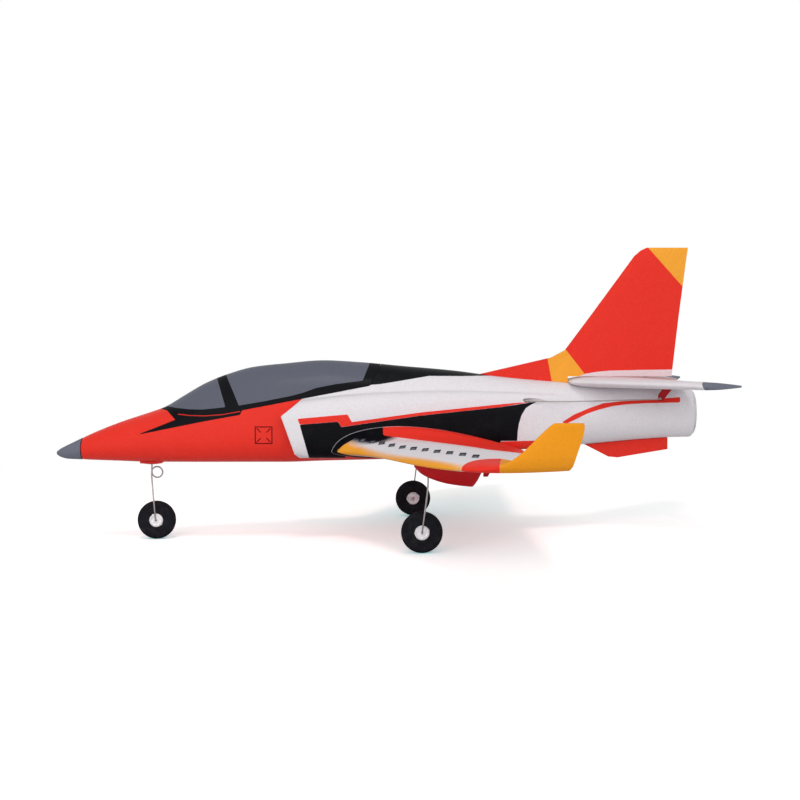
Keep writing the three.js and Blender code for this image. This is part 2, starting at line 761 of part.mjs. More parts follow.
// Flat arm from a round hub at the origin to an eye along X, standing on Z = 0
function armShape(length, hubHole = 0) {
  const half = armWidth / 2;
  const hub = bar(at(0, 0, 0), at(0, 0, armThickness), armWidth * 0.75);
  const eye = bar(at(length, 0, 0), at(length, 0, armThickness), half);
  const bridge = box(at(0, -half * 0.8, 0), at(length, half * 0.8, armThickness));
  const through = (x, radius) => bar(at(x, 0, -armThickness), at(x, 0, armThickness * 2), radius);
  const plate = cut(joined(hub, eye, bridge), through(length, rodRadius + pivotGap));
  return hubHole ? cut(plate, through(0, hubHole)) : plate;
}

// Horn below a hinge line that passes through the origin: X aft, Z up
function hornShape(depth, arm, surface) {
  const half = hornThickness / 2;
  const outline = [
    [hornThickness, -surface], [hornBase, -surface], [armWidth / 2, -depth],
    [-armWidth / 2, -depth], [-armWidth / 2, -arm + armWidth],
  ];
  const hole = bar(at(0, -hornThickness, -arm), at(0, hornThickness, -arm), rodRadius + pivotGap * 2.4);
  return cut(sidePlate(outline, -half, half), hole);
}

const placed = (shape, ...matrices) =>
  matrices.reduce((geometry, matrix) => geometry.applyMatrix4(matrix), geometryOf(solidOf(shape)));
const basis = (x, y, z, origin = at(0, 0, 0)) => new THREE.Matrix4().makeBasis(x, y, z).setPosition(origin);

// Route of an elevator rod from the servo's barrel, past the fan, out of the side and along to its horn
function elevatorRodPath(side, horn) {
  const start = elevatorServoHeight - horn.arm;
  const end = horn.point.z - elevatorArm;
  const outside = elevatorHornReach + hornThickness / 2 + elevatorRodBeside;
  const route = elevatorRodShares.map(([along, out, rise]) => at(
    THREE.MathUtils.lerp(elevatorServoX, horn.point.x, along),
    side * outside * out,
    rise * profileHeight,
  ));
  return [
    at(elevatorServoX, side * barrelHalfLength * 0.24, start),
    at(elevatorServoX, side * barrelHalfLength, start),
    at(elevatorServoX, side * (barrelHalfLength + elevatorRodBend * 0.6), start),
    at(elevatorServoX + elevatorRodBend, side * (barrelHalfLength + elevatorRodBend * 1.5), start),
    ...route,
    at(horn.point.x - elevatorRodBend * 1.6, side * (outside + elevatorRodBend * 0.3), end),
    at(horn.point.x, side * outside, end),
    at(horn.point.x, side * (elevatorHornReach - hornThickness / 2 - elevatorRodBeside), end),
  ];
}

function tailHinge(side, reach) {
  const share = (reach - elevatorInner) / (elevatorOuter - elevatorInner);
  const x = THREE.MathUtils.lerp(elevatorHingeInner, elevatorHingeOuter, share);
  const [, lead, trail, fullness] = rowAt(tailStationShares, reach / tailReach);
  const [front, rear] = [tailRootLead + lead * tailRootChord, tailRootLead + trail * tailRootChord];
  const chordShare = (x - front) / (rear - front);
  const half = (fullness * tailDepth * foilFullness(chordShare) + chordShare * trailingThickness) / 2;
  return { point: at(x, side * reach, tailHeight), half, rear: rear + overrun };
}

// Where each elevator's horn stands, and the shorter arm that moves its rod at the same rate
function elevatorHornData(side) {
  const [inner, outer] = [tailHinge(side, elevatorInner), tailHinge(side, elevatorOuter)];
  const line = outer.point.clone().sub(inner.point).normalize();
  const { point, half } = tailHinge(side, elevatorHornReach);
  return { inner, outer, point, half, frame: frameAt(point, line), arm: elevatorArm * Math.abs(line.y) };
}

// Cave for the elevator servo, with a channel to the bay
function elevatorCave() {
  const channelFront = bayRear - seamGap;
  return sidePlate([
    [channelFront, servoChannelFloor], [servoCaveRear, servoChannelFloor],
    [servoCaveRear, servoCaveRoof], [servoCaveFront, servoCaveRoof],
    [servoCaveFront, servoChannelRoof], [channelFront, servoChannelRoof],
  ], -servoCaveLeft, servoCaveRight);
}

function addFuselage() {
  const bore = bar(at(fanRear, 0, 0), at(fuselageLength + overrun, 0, 0), tubeRadiusAt(fanRear) + seamGap,
    roundSides, tubeRadiusAt(fuselageLength + overrun) + seamGap);
  const fanPocket = bar(at(fanFace - seamGap, 0, 0), at(fanRear + seamGap, 0, 0), pocketRadius, roundSides);
  const plenum = bar(at(fanFace - overrun, 0, 0), at(fanFace, 0, 0), hubRadius * 1.6, roundSides,
    fanRadius);
  const sparHole = bar(at(sparX, -bodyWidth, sparHeight), at(sparX, bodyWidth, sparHeight),
    sparRadius + seamGap);
  const halfLength = noseMountLength / 2 + seamGap;
  const mountPocket = box(at(noseLegX - halfLength, -noseMountWidth / 2 - seamGap, -profileHeight),
    at(noseLegX + halfLength, noseMountWidth / 2 + seamGap, wellRoof));
  const cheeks = sides.map(([, side]) => cut(cheekShape(side, 0), lipCut()));
  const tunnels = sides.map(([, side]) =>
    wireAlong(elevatorRodPath(side, elevatorHornData(side)).slice(2, 10), tunnelRadius, 14, 6));
  const ducts = sides.map(([, side]) => ductShape(side));
  const whole = cut(joined(bodyShape(0), ...cheeks), ...ducts, bayShape(), hatchRegion(0, 0), fanPocket,
    bore, plenum, tailShape(seamGap), sparHole, mountPocket, elevatorCave(), ...tunnels,
    magnetShape(-1, seamGap));
  for (const [name, side] of sides) {
    const [near, far] = [side * seamGap / 2, side * (cheekReach + overrun)];
    const half = box(at(0, Math.min(near, far), -profileHeight),
      at(fuselageLength + overrun, Math.max(near, far), profileHeight));
    add(`fuselage_${name}`, common(whole, half), materials.redFoam);
  }
}

function addNoseCone() {
  const rings = noseStationShares.map(([station, top, bottom, widest, half]) => section(
    station * (noseConeLength - seamGap), 0, widest * profileHeight, half * bodyWidth,
    (top - widest) * profileHeight, (widest - bottom) * profileHeight, 2, 2, cheekSides,
  ));
  add('nose_cone', loft(rings, at(0, 0, noseTipShare * profileHeight)), materials.greyFoam);
}

// Magnets that face each other across the sloping sill: level 1 in the hatch, -1 in the fuselage
function magnetShape(level, grow = 0) {
  const normal = at(-sillSlope, 0, 1).normalize();
  const face = at(magnetX, 0, sillAt(magnetX)).addScaledVector(normal, level > 0 ? seamGap : 0);
  const open = face.clone().addScaledVector(normal, grow ? -level * magnetThickness : 0);
  const seat = face.clone().addScaledVector(normal, level * (magnetThickness + grow));
  return bar(open, seat, magnetRadius + grow);
}

function addHatch() {
  const shell = common(bodyShape(0), hatchRegion(seamGap, seamGap));
  const room = box(at(bayStep, -bayHalfWidth, 0), at(bayRear, bayHalfWidth, hatchTop + overrun));
  const inner = common(bodyShape(-hatchWall), room);
  add('canopy_hatch', cut(shell, inner, magnetShape(1, seamGap)), materials.glazing);
  add('hatch_magnet', magnetShape(1), materials.magnetSteel);
  add('fuselage_magnet', magnetShape(-1), materials.magnetSteel);
}

function bladeShape(middle) {
  const stations = [[hubRadius * 0.7, bladeRootPitch], [fanRadius - tipGap, bladeTipPitch]];
  return loft(stations.map(([radius, pitch]) => {
    const [along, thick] = [bladeChord / 2, bladeThickness / 2];
    return [[-along, -thick], [-along, thick], [along, thick], [along, -thick]].map(([u, v]) => {
      const x = middle + u * Math.sin(pitch) + v * Math.cos(pitch);
      const across = u * Math.cos(pitch) - v * Math.sin(pitch);
      return at(x, across, Math.sqrt(radius ** 2 - across ** 2));
    });
  }));
}

function addFan() {
  const inner = motorRadius + seamGap;
  const hubRear = fanFace + rotorLength + armWidth;
  const motorFront = hubRear + fanWall / 2;
  const mountFront = motorFront + fanWall;
  const shell = ringAlongX([[fanFace, fanRadius], [fanRear, fanRadius],
    [fanRear, fanRadius + fanWall], [fanFace, fanRadius + fanWall]]);
  const mount = ringAlongX([[mountFront, inner], [fanRear, inner],
    [fanRear, inner + statorThickness], [mountFront, inner + statorThickness]], cheekSides);
  const vane = () => box(at(mountFront + fanWall, -statorThickness / 2, inner + statorThickness / 2),
    at(fanRear - fanWall, statorThickness / 2, fanRadius + fanWall / 2));
  const vanes = Array.from({ length: statorCount }, (_, i) =>
    vane().rotateX((2 * Math.PI * i) / statorCount));
  add('fan_housing', joined(shell, mount, ...vanes), materials.blackPlastic);

  const bore = bar(at(motorFront - overrun, 0, 0), at(motorFront + shaftDepth, 0, 0), shaftRadius + runGap);
  const can = bar(at(motorFront, 0, 0), at(motorFront + motorLength, 0, 0), motorRadius, cheekSides);
  add('fan_motor', cut(can, bore), materials.motorMetal);

  const hubShares = [[0, 0], [0.07, 0.45], [0.28, 0.82], [0.55, 1], [1, 1], [1, 0]];
  const profile = hubShares.map(([along, out]) =>
    new THREE.Vector2(out * hubRadius, hubRear - (1 - along) * rotorLength));
  const turn = basis(at(0, 1, 0), at(1, 0, 0), at(0, 0, 1));
  const hub = new THREE.LatheGeometry(profile, bladeCount * 3).applyMatrix4(turn);
  const blades = Array.from({ length: bladeCount }, (_, i) =>
    bladeShape(hubRear - bladeChord / 2).rotateX((2 * Math.PI * i) / bladeCount));
  const shaftFront = hubRear - rotorLength / 2;
  const hole = bar(at(shaftFront - seamGap, 0, 0), at(hubRear + overrun, 0, 0), shaftRadius + seamGap);
  add('fan_rotor', cut(joined(hub, ...blades), hole), materials.greyFoam);
  const shaft = bar(at(shaftFront, 0, 0), at(motorFront + shaftDepth - seamGap, 0, 0), shaftRadius);
  add('motor_shaft', shaft, materials.steel);

  const tube = ringAlongX([[tubeFront, tubeFrontRadius - tubeWall], [tubeRear, nozzleRadius - tubeWall],
    [tubeRear, nozzleRadius], [tubeFront, tubeFrontRadius]]);
  add('exhaust_tube', tube, materials.darkFoam);
}

// Point on a wing's hinge line, with the section's half depth there
function wingHinge(side, reach) {
  const row = wingRow(reach / semiSpan);
  const fullness = foilFullness(foilHingeShare);
  const x = THREE.MathUtils.lerp(row.lead, row.trail, foilHingeShare);
  return {
    point: at(x, side * reach, row.height + ((row.upper - row.lower) / 2) * fullness),
    half: ((row.upper + row.lower) / 2) * fullness + (foilHingeShare * trailingThickness) / 2,
    rear: row.trail + overrun,
  };
}

// Pod under a wing: open on top, hollow behind the wheel leg, with a slot for rod and horn
function podShape(side, frame, legHole) {
  const shell = (wall) => loft(podStationShares.map(([along, half, depth]) => section(
    podFront + along * podLength, side * podReach, podTop, half * podHalfWidth - wall,
    podWall, depth * (podTop - podBottom) - wall, podRoundness, podRoundness, cheekSides,
  )));
  const local = (x0, y0, z0, x1, y1, z1) => {
    const [low, high] = side < 0 ? [-y1, -y0] : [y0, y1];
    return placed(box(at(x0, low, z0), at(x1, high, z1)), frame);
  };
  const servoFront = -aileronRodSpan - servoLength + servoShaftInset - servoTabLength - 2 * seamGap;
  const servoInner = -(servoHeight + servoBossHeight + armThickness + 2 * seamGap);
  const cave = common(shell(podWall),
    local(servoFront, servoInner, -podHalfWidth * 3, -podRearWall, armWidth * 1.2, overrun));
  const slot = local(-2 * podRearWall, -armWidth / 2, -aileronHornDepth - armWidth, overrun, armWidth, 0);
  return cut(shell(0), wingShape(side, seamGap), cave, slot, legHole);
}

// Everything at one wing: panel, aileron, servo, rod, horn, pod and wheel leg
function addWing(name, side) {
  const [inner, outer] = [wingHinge(side, aileronInner), wingHinge(side, aileronOuter)];
  const hinge = wingHinge(side, aileronHornReach);
  const frame = frameAt(hinge.point, outer.point.clone().sub(inner.point));
  const servoFrame = frame.clone().multiply(basis(at(-1, 0, 0), at(0, 0, side), at(0, side, 0),
    at(-aileronRodSpan, -side * (armThickness / 2 + seamGap), -aileronServoDrop)));
  const split = splitAtHinge(wingShape(side, 0), inner, outer, aileronTravel);
  const sparHole = bar(at(sparX, 0, sparHeight), at(sparX, side * (sparReach + seamGap), sparHeight),
    sparRadius + seamGap);
  const root = box(at(wingRootLead - overrun, -wingPanelReach, -profileHeight),
    at(wingRootLead + wingRootChord + overrun, wingPanelReach, 0));
  const carrier = joined(bodyShape(seamGap), cheekShape(side, seamGap), root);
  add(`wing_${name}`, cut(split.fixed, carrier, placed(servoShape(seamGap), servoFrame), sparHole),
    materials.whiteFoam);
  add(`aileron_${name}`, split.moving, materials.whiteFoam);
  add(`aileron_servo_${name}`, placed(servoShape(), servoFrame), materials.blackPlastic);

  const shaft = at(-aileronRodSpan, -armThickness / 2, -aileronServoDrop);
  const down = basis(at(0, 0, -1), at(-1, 0, 0), at(0, 1, 0), shaft);
  add(`aileron_servo_arm_${name}`, placed(armShape(aileronArm), down, frame), materials.whitePlastic);
  const [front, rear] = [at(shaft.x, 0, shaft.z - aileronArm), at(0, 0, -aileronArm)];
  const beside = side * (hornThickness / 2 + rodRadius + besideGap);
  const through = -side * (hornThickness / 2 + rodRadius);
  const rodPoints = [
    front.clone().setY(through), front.clone().setY(beside * 0.7),
    front.clone().add(at(rodRadius * 2, beside, 0)), rear.clone().add(at(-rodRadius * 2, beside, 0)),
    rear.clone().setY(beside * 0.7), rear.clone().setY(through),
  ];
  add(`aileron_pushrod_${name}`, placed(wireAlong(rodPoints, rodRadius, 24, 5), frame), materials.steel);
  const horn = hornShape(aileronHornDepth, aileronArm, hinge.half + seamGap);
  add(`aileron_horn_${name}`, placed(horn, frame), materials.redPlastic);

  const legHole = bar(at(mainLegX, side * mainLegReach, mainLegTop + seamGap),
    at(mainLegX, side * mainLegReach, podBottom - overrun), wireRadius + seamGap);
  add(`wing_pod_${name}`, podShape(side, frame, legHole), materials.podRed);
  const axleEnd = mainWheelReach - hubWidth / 2 - capWidth - 2 * seamGap;
  const leg = wireAlong([
    at(mainLegX, side * mainLegReach, mainLegTop), at(mainLegX, side * mainLegReach, podBottom),
    at(mainAxleX, side * mainLegReach, mainAxleHeight + wireBend),
    ...axleEnds(mainAxleX, side * mainLegReach, side * axleEnd, mainAxleHeight),
  ], wireRadius, 38, 6);
  add(`main_leg_${name}`, leg, materials.steel);
  addWheel(`${name}_`, at(mainAxleX, side * mainWheelReach, mainAxleHeight), -side);
}

// Last points of a leg: round its bend and straight along the axle
function axleEnds(x, legY, endY, height) {
  const inward = Math.sign(endY - legY) * wireBend;
  return [at(x, legY + inward * 0.25, height + wireBend * 0.25), at(x, legY + inward, height),
    at(x, legY + inward * 1.4, height), at(x, endY, height)];
}

// Wheel on an axle along Y, with its cap on the side that the sign gives
function addWheel(prefix, centre, capSide) {
  const hubShares = [[0.5, 0.82], [0.42, 1], [-0.42, 1], [-0.5, 0.82]];
  const rim = hubShares.map(([across, out]) => new THREE.Vector2(out * hubRimRadius, across * hubWidth));
  const bore = wireRadius + runGap;
  const hubProfile = [new THREE.Vector2(bore, hubWidth / 2), ...rim, new THREE.Vector2(bore, -hubWidth / 2),
    new THREE.Vector2(bore, hubWidth / 2)];
  const treadShares = [[0.5, 0.84], [0.38, 0.96], [0.16, 1], [-0.16, 1], [-0.38, 0.96], [-0.5, 0.84]];
  const tread = treadShares.map(([across, out]) =>
    new THREE.Vector2(out * wheelRadius, across * tyreWidth));
  const seat = hubRimRadius + seamGap;
  const tyreProfile = [new THREE.Vector2(seat, tyreWidth / 2), ...tread,
    new THREE.Vector2(seat, -tyreWidth / 2), new THREE.Vector2(seat, tyreWidth / 2)];
  const capFace = capSide * (hubWidth / 2 + seamGap);
  const cap = cut(bar(at(0, capFace, 0), at(0, capFace + capSide * capWidth, 0), capRadius),
    bar(at(0, 0, 0), at(0, capFace + capSide * 2 * capWidth, 0), wireRadius + seamGap));
  const wheel = new THREE.Group();
  wheel.position.copy(centre);
  airframe.add(wheel);
  add(`${prefix}tyre`, new THREE.LatheGeometry(tyreProfile, wheelSides), materials.tyreFoam, wheel);
  add(`${prefix}hub`, new THREE.LatheGeometry(hubProfile, wheelSides), materials.whitePlastic, wheel);
  add(`${prefix}wheel_cap`, cap, materials.whitePlastic, wheel);
}

function addTail() {
  let fixed = solidOf(tailShape(0));
  for (const [name, side] of sides) {
    const horn = elevatorHornData(side);
    const split = splitAtHinge(fixed, horn.inner, horn.outer, elevatorTravel);
    fixed = split.fixed;
    add(`elevator_${name}`, split.moving, materials.whiteFoam);
    const plate = hornShape(elevatorHornDepth, elevatorArm, horn.half + seamGap);
    add(`elevator_horn_${name}`, placed(plate, horn.frame), materials.redPlastic);
    const rod = wireAlong(elevatorRodPath(side, horn), rodRadius, 52, 5);
    add(`elevator_pushrod_${name}`, rod, materials.steel);
  }
  add('tailplane', fixed, materials.whiteFoam);

  const { arm } = elevatorHornData(1);
  const servoFace = armThickness / 2 + seamGap;
  add('elevator_servo', placed(servoShape(), basis(at(1, 0, 0), at(0, 0, 1), at(0, -1, 0),
    at(elevatorServoX, servoFace, elevatorServoHeight))), materials.bluePlastic);
  const down = basis(at(0, 0, -1), at(-1, 0, 0), at(0, 1, 0),
    at(elevatorServoX, -armThickness / 2, elevatorServoHeight));
  const barrelAt = (y) => at(elevatorServoX, y, elevatorServoHeight - arm);
  const barrel = bar(barrelAt(-barrelHalfLength), barrelAt(barrelHalfLength), barrelRadius);
  const bore = bar(barrelAt(-overrun), barrelAt(overrun), rodRadius + pivotGap);
  add('elevator_servo_arm', cut(joined(placed(armShape(arm), down), barrel), bore), materials.whitePlastic);
}

function addFins() {
  const rings = finStationShares.map(([rise, lead, trail, fullness]) => {
    const half = (fullness * finDepth) / 2;
    const [front, rear] = [finBaseLead + lead * finSweep, finBaseTrail + trail * finTrailLean];
    return foilPoints(half, half).map(([share, y]) =>
      at(THREE.MathUtils.lerp(front, rear, share), y, finBase + rise * finRise));
  });
  const kneeRear = finBaseLead + finSweep * 0.36;
  const dorsal = sidePlate([
    [dorsalFront, tailHeight], [dorsalFront, dorsalFoot], [dorsalKnee, dorsalHeight],
    [kneeRear, finBase + finRise * 0.3], [kneeRear, tailHeight],
  ], -dorsalDepth / 2, dorsalDepth / 2);
  const under = box(at(tailRootLead, -bodyWidth, 0),
    at(fuselageLength, bodyWidth, tailHeight + tailDepth / 2 + seamGap));
  add('fin', cut(joined(loft(rings), dorsal), bodyShape(seamGap), tailShape(seamGap), under),
    materials.redFoam);
  const outline = ventralShares.map(([along, drop]) =>
    [ventralFront + along * ventralLength, -drop * ventralDrop]);
  add('ventral_fin', cut(sidePlate(outline, -ventralDepth / 2, ventralDepth / 2), bodyShape(seamGap)),
    materials.redFoam);
}

function addNoseGear() {
  const armHeight = bayFloor + servoBossHeight + servoHeight + 2 * seamGap;
  const blockLow = bellyHeight - noseFootDepth / 2;
  const block = box(at(noseLegX - noseMountLength / 2, -noseMountWidth / 2, blockLow),
    at(noseLegX + noseMountLength / 2, noseMountWidth / 2, noseMountTop));
  const dome = new THREE.SphereGeometry(1, cheekSides, smallSides / 2 + 3)
    .scale(noseFootLength / 2, noseFootWidth / 2, noseFootDepth).translate(noseLegX, 0, bellyHeight);
  const bore = bar(at(noseLegX, 0, bellyHeight - overrun), at(noseLegX, 0, 0), wireRadius + runGap);
  add('nose_gear_mount', cut(joined(block, cut(dome, bodyShape(seamGap))), bore), materials.redPlastic);

  const springX = noseLegX + springRadius;
  const springSteps = 12;
  const loop = Array.from({ length: springSteps + 1 }, (_, i) => {
    const turn = Math.PI + (2 * Math.PI * i) / springSteps;
    return at(springX + springRadius * Math.cos(turn), (-springPitch * i) / springSteps,
      springHeight + springRadius * Math.sin(turn));
  });
  const hubFace = hubWidth / 2 + capWidth + 2 * seamGap;
  const leg = [
    at(noseLegX, 0, armHeight + armThickness + seamGap), at(noseLegX, 0, noseMountTop),
    at(noseLegX, 0, springHeight + springRadius), ...loop,
    at(noseLegX + springPitch * 0.7, -noseLegOffset * 0.75, springHeight - springRadius * 2.6),
    at(noseAxleX - springPitch * 0.6, -noseLegOffset, noseAxleHeight + wheelRadius),
    at(noseAxleX, -noseLegOffset, noseAxleHeight + wireBend),
    ...axleEnds(noseAxleX, -noseLegOffset, hubFace, noseAxleHeight),
  ];
  add('nose_leg', wireAlong(leg, wireRadius, 72, 6), materials.steel);
  const springGap = leastGap(leg, wireRadius);
  console.log('nose leg, least gap of the spring loop to the wire beside it, mm:', springGap.toFixed(2));
  addWheel('nose_', at(noseAxleX, 0, noseAxleHeight), 1);

  const sideways = (x) => basis(at(0, 1, 0), at(-1, 0, 0), at(0, 0, 1), at(x, 0, armHeight));
  const arms = [
    ['steering_arm', armShape(steeringArm, wireRadius + seamGap), noseLegX],
    ['steering_servo_arm', armShape(steeringArm), steeringServoX],
  ];
  for (const [name, shape, x] of arms) add(name, placed(shape, sideways(x)), materials.whitePlastic);
  add('steering_servo', placed(servoShape(), basis(at(1, 0, 0), at(0, 1, 0), at(0, 0, 1),
    at(steeringServoX, 0, armHeight - seamGap))), materials.bluePlastic);
  const rodHeight = armHeight + armThickness + rodRadius + seamGap;
  const rodFoot = armHeight - rodRadius;
  const rod = wireAlong([
    at(noseLegX, steeringArm, rodFoot), at(noseLegX, steeringArm, rodHeight - rodRadius),
    at(noseLegX + rodRadius * 2, steeringArm, rodHeight),
    at(steeringServoX - rodRadius * 2, steeringArm, rodHeight),
    at(steeringServoX, steeringArm, rodHeight - rodRadius), at(steeringServoX, steeringArm, rodFoot),
  ], rodRadius, 24, 5);
  add('steering_pushrod', rod, materials.steel);
}

function addEquipment() {
  const block = (x, length, width, low, height) =>
    box(at(x - length / 2, -width / 2, low), at(x + length / 2, width / 2, low + height));
  const trayLow = bayFloor + seamGap;
  const batteryLow = trayLow + trayThickness + seamGap;
  const strapInside = batteryWidth + 2 * seamGap;
  const strapOutside = strapInside + 2 * strapThickness;
  const strapTop = batteryHeight + seamGap + strapThickness;
  add('battery_tray', block(batteryX, batteryLength + 2 * armWidth, strapOutside + strapThickness, trayLow,
    trayThickness), materials.plywood);
  add('battery', block(batteryX, batteryLength, batteryWidth, batteryLow, batteryHeight),
    materials.bluePlastic);
  add('battery_strap', cut(block(batteryX, strapWidth, strapOutside, batteryLow, strapTop),
    block(batteryX, strapWidth * 2, strapInside, batteryLow - overrun, batteryHeight + seamGap + overrun)),
    materials.strapWeb);
  add('speed_controller', block(controllerX, controllerLength, controllerWidth, trayLow, controllerHeight),
    materials.blackPlastic);
  add('receiver', block(controllerX, receiverLength, receiverWidth, trayLow + controllerHeight + seamGap,
    receiverHeight), materials.redPlastic);
  add('wing_spar', bar(at(sparX, -sparReach, sparHeight), at(sparX, sparReach, sparHeight), sparRadius),
    materials.carbon);
}

addFuselage();
addNoseCone();
addHatch();
addFan();
for (const [name, side] of sides) addWing(name, side);
addTail();
addFins();
addNoseGear();
addEquipment();

// The wheels stand on Z = 0, and the origin is under the middle of the whole aircraft
const group = new THREE.Group();
airframe.rotation.y = Math.atan2(mainAxleHeight - noseAxleHeight, mainAxleX - noseAxleX);
group.add(airframe);
group.updateMatrixWorld(true);
const bounds = new THREE.Box3().setFromObject(group, true);
const middle = bounds.getCenter(at(0, 0, 0));
airframe.position.set(-middle.x, -middle.y, -bounds.min.z);
group.updateMatrixWorld(true);

export default group;
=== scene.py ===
import json
import math
import bmesh
import bpy
import numpy as np
from mathutils import Matrix, Vector
from mathutils.bvhtree import BVHTree


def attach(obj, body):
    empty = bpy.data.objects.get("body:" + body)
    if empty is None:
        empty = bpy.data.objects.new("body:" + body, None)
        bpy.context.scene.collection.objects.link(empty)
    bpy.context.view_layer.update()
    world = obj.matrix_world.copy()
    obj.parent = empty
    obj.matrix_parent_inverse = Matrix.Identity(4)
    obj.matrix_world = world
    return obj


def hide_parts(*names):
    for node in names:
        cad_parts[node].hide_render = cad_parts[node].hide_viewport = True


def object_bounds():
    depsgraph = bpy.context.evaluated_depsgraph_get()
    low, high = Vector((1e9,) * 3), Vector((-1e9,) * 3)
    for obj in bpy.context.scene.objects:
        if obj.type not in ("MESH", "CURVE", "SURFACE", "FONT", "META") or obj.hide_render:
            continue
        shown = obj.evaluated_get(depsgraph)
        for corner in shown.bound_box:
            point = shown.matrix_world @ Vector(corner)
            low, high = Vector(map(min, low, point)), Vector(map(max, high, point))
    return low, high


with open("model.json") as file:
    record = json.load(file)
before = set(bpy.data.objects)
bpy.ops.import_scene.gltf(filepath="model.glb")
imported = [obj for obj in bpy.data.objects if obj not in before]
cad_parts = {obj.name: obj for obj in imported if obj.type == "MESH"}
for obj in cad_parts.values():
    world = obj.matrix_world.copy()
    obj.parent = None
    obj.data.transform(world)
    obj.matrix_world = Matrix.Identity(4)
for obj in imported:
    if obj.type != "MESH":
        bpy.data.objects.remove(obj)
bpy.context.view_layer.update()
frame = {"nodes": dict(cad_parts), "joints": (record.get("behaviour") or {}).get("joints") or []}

# The airframe's own axes, in millimetres: X aft from the nose tip, Y to the right, Z up from the fan's
# centre line. The model stands slightly nose-up on its wheels.
FAN_FACE = 392
NOSE_AXLE = (99, -106.7)
JOINTS = {joint["name"]: joint for joint in frame["joints"]}


def airframe_matrix():
    """Airframe millimetres to the frame's metres, from the axis and one place of the fan's joint."""
    axis = Vector(JOINTS["rotor_spin"]["axis"])
    up = axis.cross(Vector((0, 1, 0)))
    matrix = Matrix((axis, (0, 1, 0), up)).transposed().to_4x4()
    place = Vector(JOINTS["rotor_spin"]["pos_m"]) - axis * FAN_FACE * 0.001
    return Matrix.Translation(place) @ matrix @ Matrix.Diagonal((0.001, 0.001, 0.001, 1))


TO_FRAME = airframe_matrix()
TO_AIRFRAME = TO_FRAME.inverted()
SIDES = (("left", -1), ("right", 1))

# Camera: the photograph's viewpoint, 1.4 m from the centre line
VIEW_DISTANCE = 1400
EYE = Vector((311, -VIEW_DISTANCE, 84))
LENS_PIXELS = 1404
CAMERA_TURN, CAMERA_DIP = 0.0221, 0.0509
IMAGE_SIZE = 800
SENSOR = 36


def linked(name, data):
    """New object in the scene."""
    item = bpy.data.objects.new(name, data)
    bpy.context.scene.collection.objects.link(item)
    return item


def make_camera():
    data = bpy.data.cameras.new("studio_camera")
    data.sensor_width = SENSOR
    data.lens = SENSOR * LENS_PIXELS / IMAGE_SIZE
    data.clip_start, data.clip_end = 0.01, 50
    camera = linked("studio_camera", data)
    turn = Matrix.Rotation(-CAMERA_TURN, 4, "Z") @ Matrix.Rotation(math.pi / 2 - CAMERA_DIP, 4, "X")
    level = TO_FRAME.to_3x3().normalized().to_4x4()
    camera.matrix_world = Matrix.Translation(TO_FRAME @ EYE) @ level @ turn
    bpy.context.scene.camera = camera


make_camera()
bpy.context.scene.view_settings.view_transform = "Standard"


# Pieces and shapes
SMOOTH_LIMIT, BEVEL_LIMIT = math.radians(35), math.radians(30)


def new_piece(name, mesh, finish, body, slot, *nodes):
    piece = linked(name, mesh)
    mesh.materials.clear()
    mesh.materials.append(FINISHES[finish])
    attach(piece, body)
    if nodes:
        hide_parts(*nodes)
    return piece


def smooth_piece(*settings):
    """New piece with smooth shading, broken at sharp edges."""
    mesh = new_piece(*settings).data
    mesh.shade_smooth()
    mesh.set_sharp_from_angle(angle=SMOOTH_LIMIT)


def bevelled(piece, width, segments=2):
    modifier = piece.modifiers.new("soft_edges", "BEVEL")
    modifier.width = width * 0.001
    modifier.segments = segments
    modifier.limit_method = "ANGLE"
    modifier.angle_limit = BEVEL_LIMIT
    modifier.harden_normals = True


def mesh_of(name, points, faces):
    """Mesh from airframe points, in the frame's metres, with its faces turned outwards."""
    mesh = bpy.data.meshes.new(name)
    mesh.from_pydata([TO_FRAME @ Vector(point) for point in points], [], faces)
    work = bmesh.new()
    work.from_mesh(mesh)
    bmesh.ops.recalc_face_normals(work, faces=work.faces)
    work.to_mesh(mesh)
    work.free()
    return mesh


def loft(name, rings, start=None, end=None):
    """Closed skin through rings of equal count, with a fan to a middle point at each end."""
    count = len(rings[0])
    points = [point for ring in rings for point in ring]
    points += [start or np.mean(rings[0], axis=0), end or np.mean(rings[-1], axis=0)]
    first, last, tail = len(points) - 2, len(points) - 1, (len(rings) - 1) * count
    faces = []
    for j in range(count):
        k = (j + 1) % count
        faces += [(first, k, j), (last, tail + j, tail + k)]
        for i in range(len(rings) - 1):
            near, far = i * count, (i + 1) * count
            faces.append((near + j, near + k, far + k, far + j))
    return mesh_of(name, points, faces)


def mix(start, end, share):
    return start + (end - start) * share


def hermite(start, end, leave, reach, t):
    """Smooth way between two values from its slopes at both."""
    return ((2 * t**3 - 3 * t**2 + 1) * start + (t**3 - 2 * t**2 + t) * leave
            + (3 * t**2 - 2 * t**3) * end + (t**3 - t**2) * reach)


def smooth_rows(table, places):
    """Rows of a table at values of its first column, on smooth curves that never overshoot the table."""
    values = np.array(table, float)
    knots, places = values[:, 0], np.atleast_1d(np.asarray(places, float))
    steps = np.diff(knots)[:, None]
    slopes = np.diff(values, axis=0) / steps
    before, after = slopes[:-1], slopes[1:]
    same = before * after > 0
    near, far = steps[:-1] + 2 * steps[1:], 2 * steps[:-1] + steps[1:]
    mean = (near + far) / np.where(same, near / np.where(same, before, 1) + far / np.where(same, after, 1), 1)
    tangents = np.vstack([slopes[:1], np.where(same, mean, 0), slopes[-1:]])
    i = np.clip(np.searchsorted(knots, places, side="right") - 1, 0, len(knots) - 2)
    width = steps[i]
    t = (places - knots[i])[:, None] / width
    return hermite(values[i], values[i + 1], width * tangents[i], width * tangents[i + 1], t)


def smooth_row(table, value):
    return smooth_rows(table, value)[0]


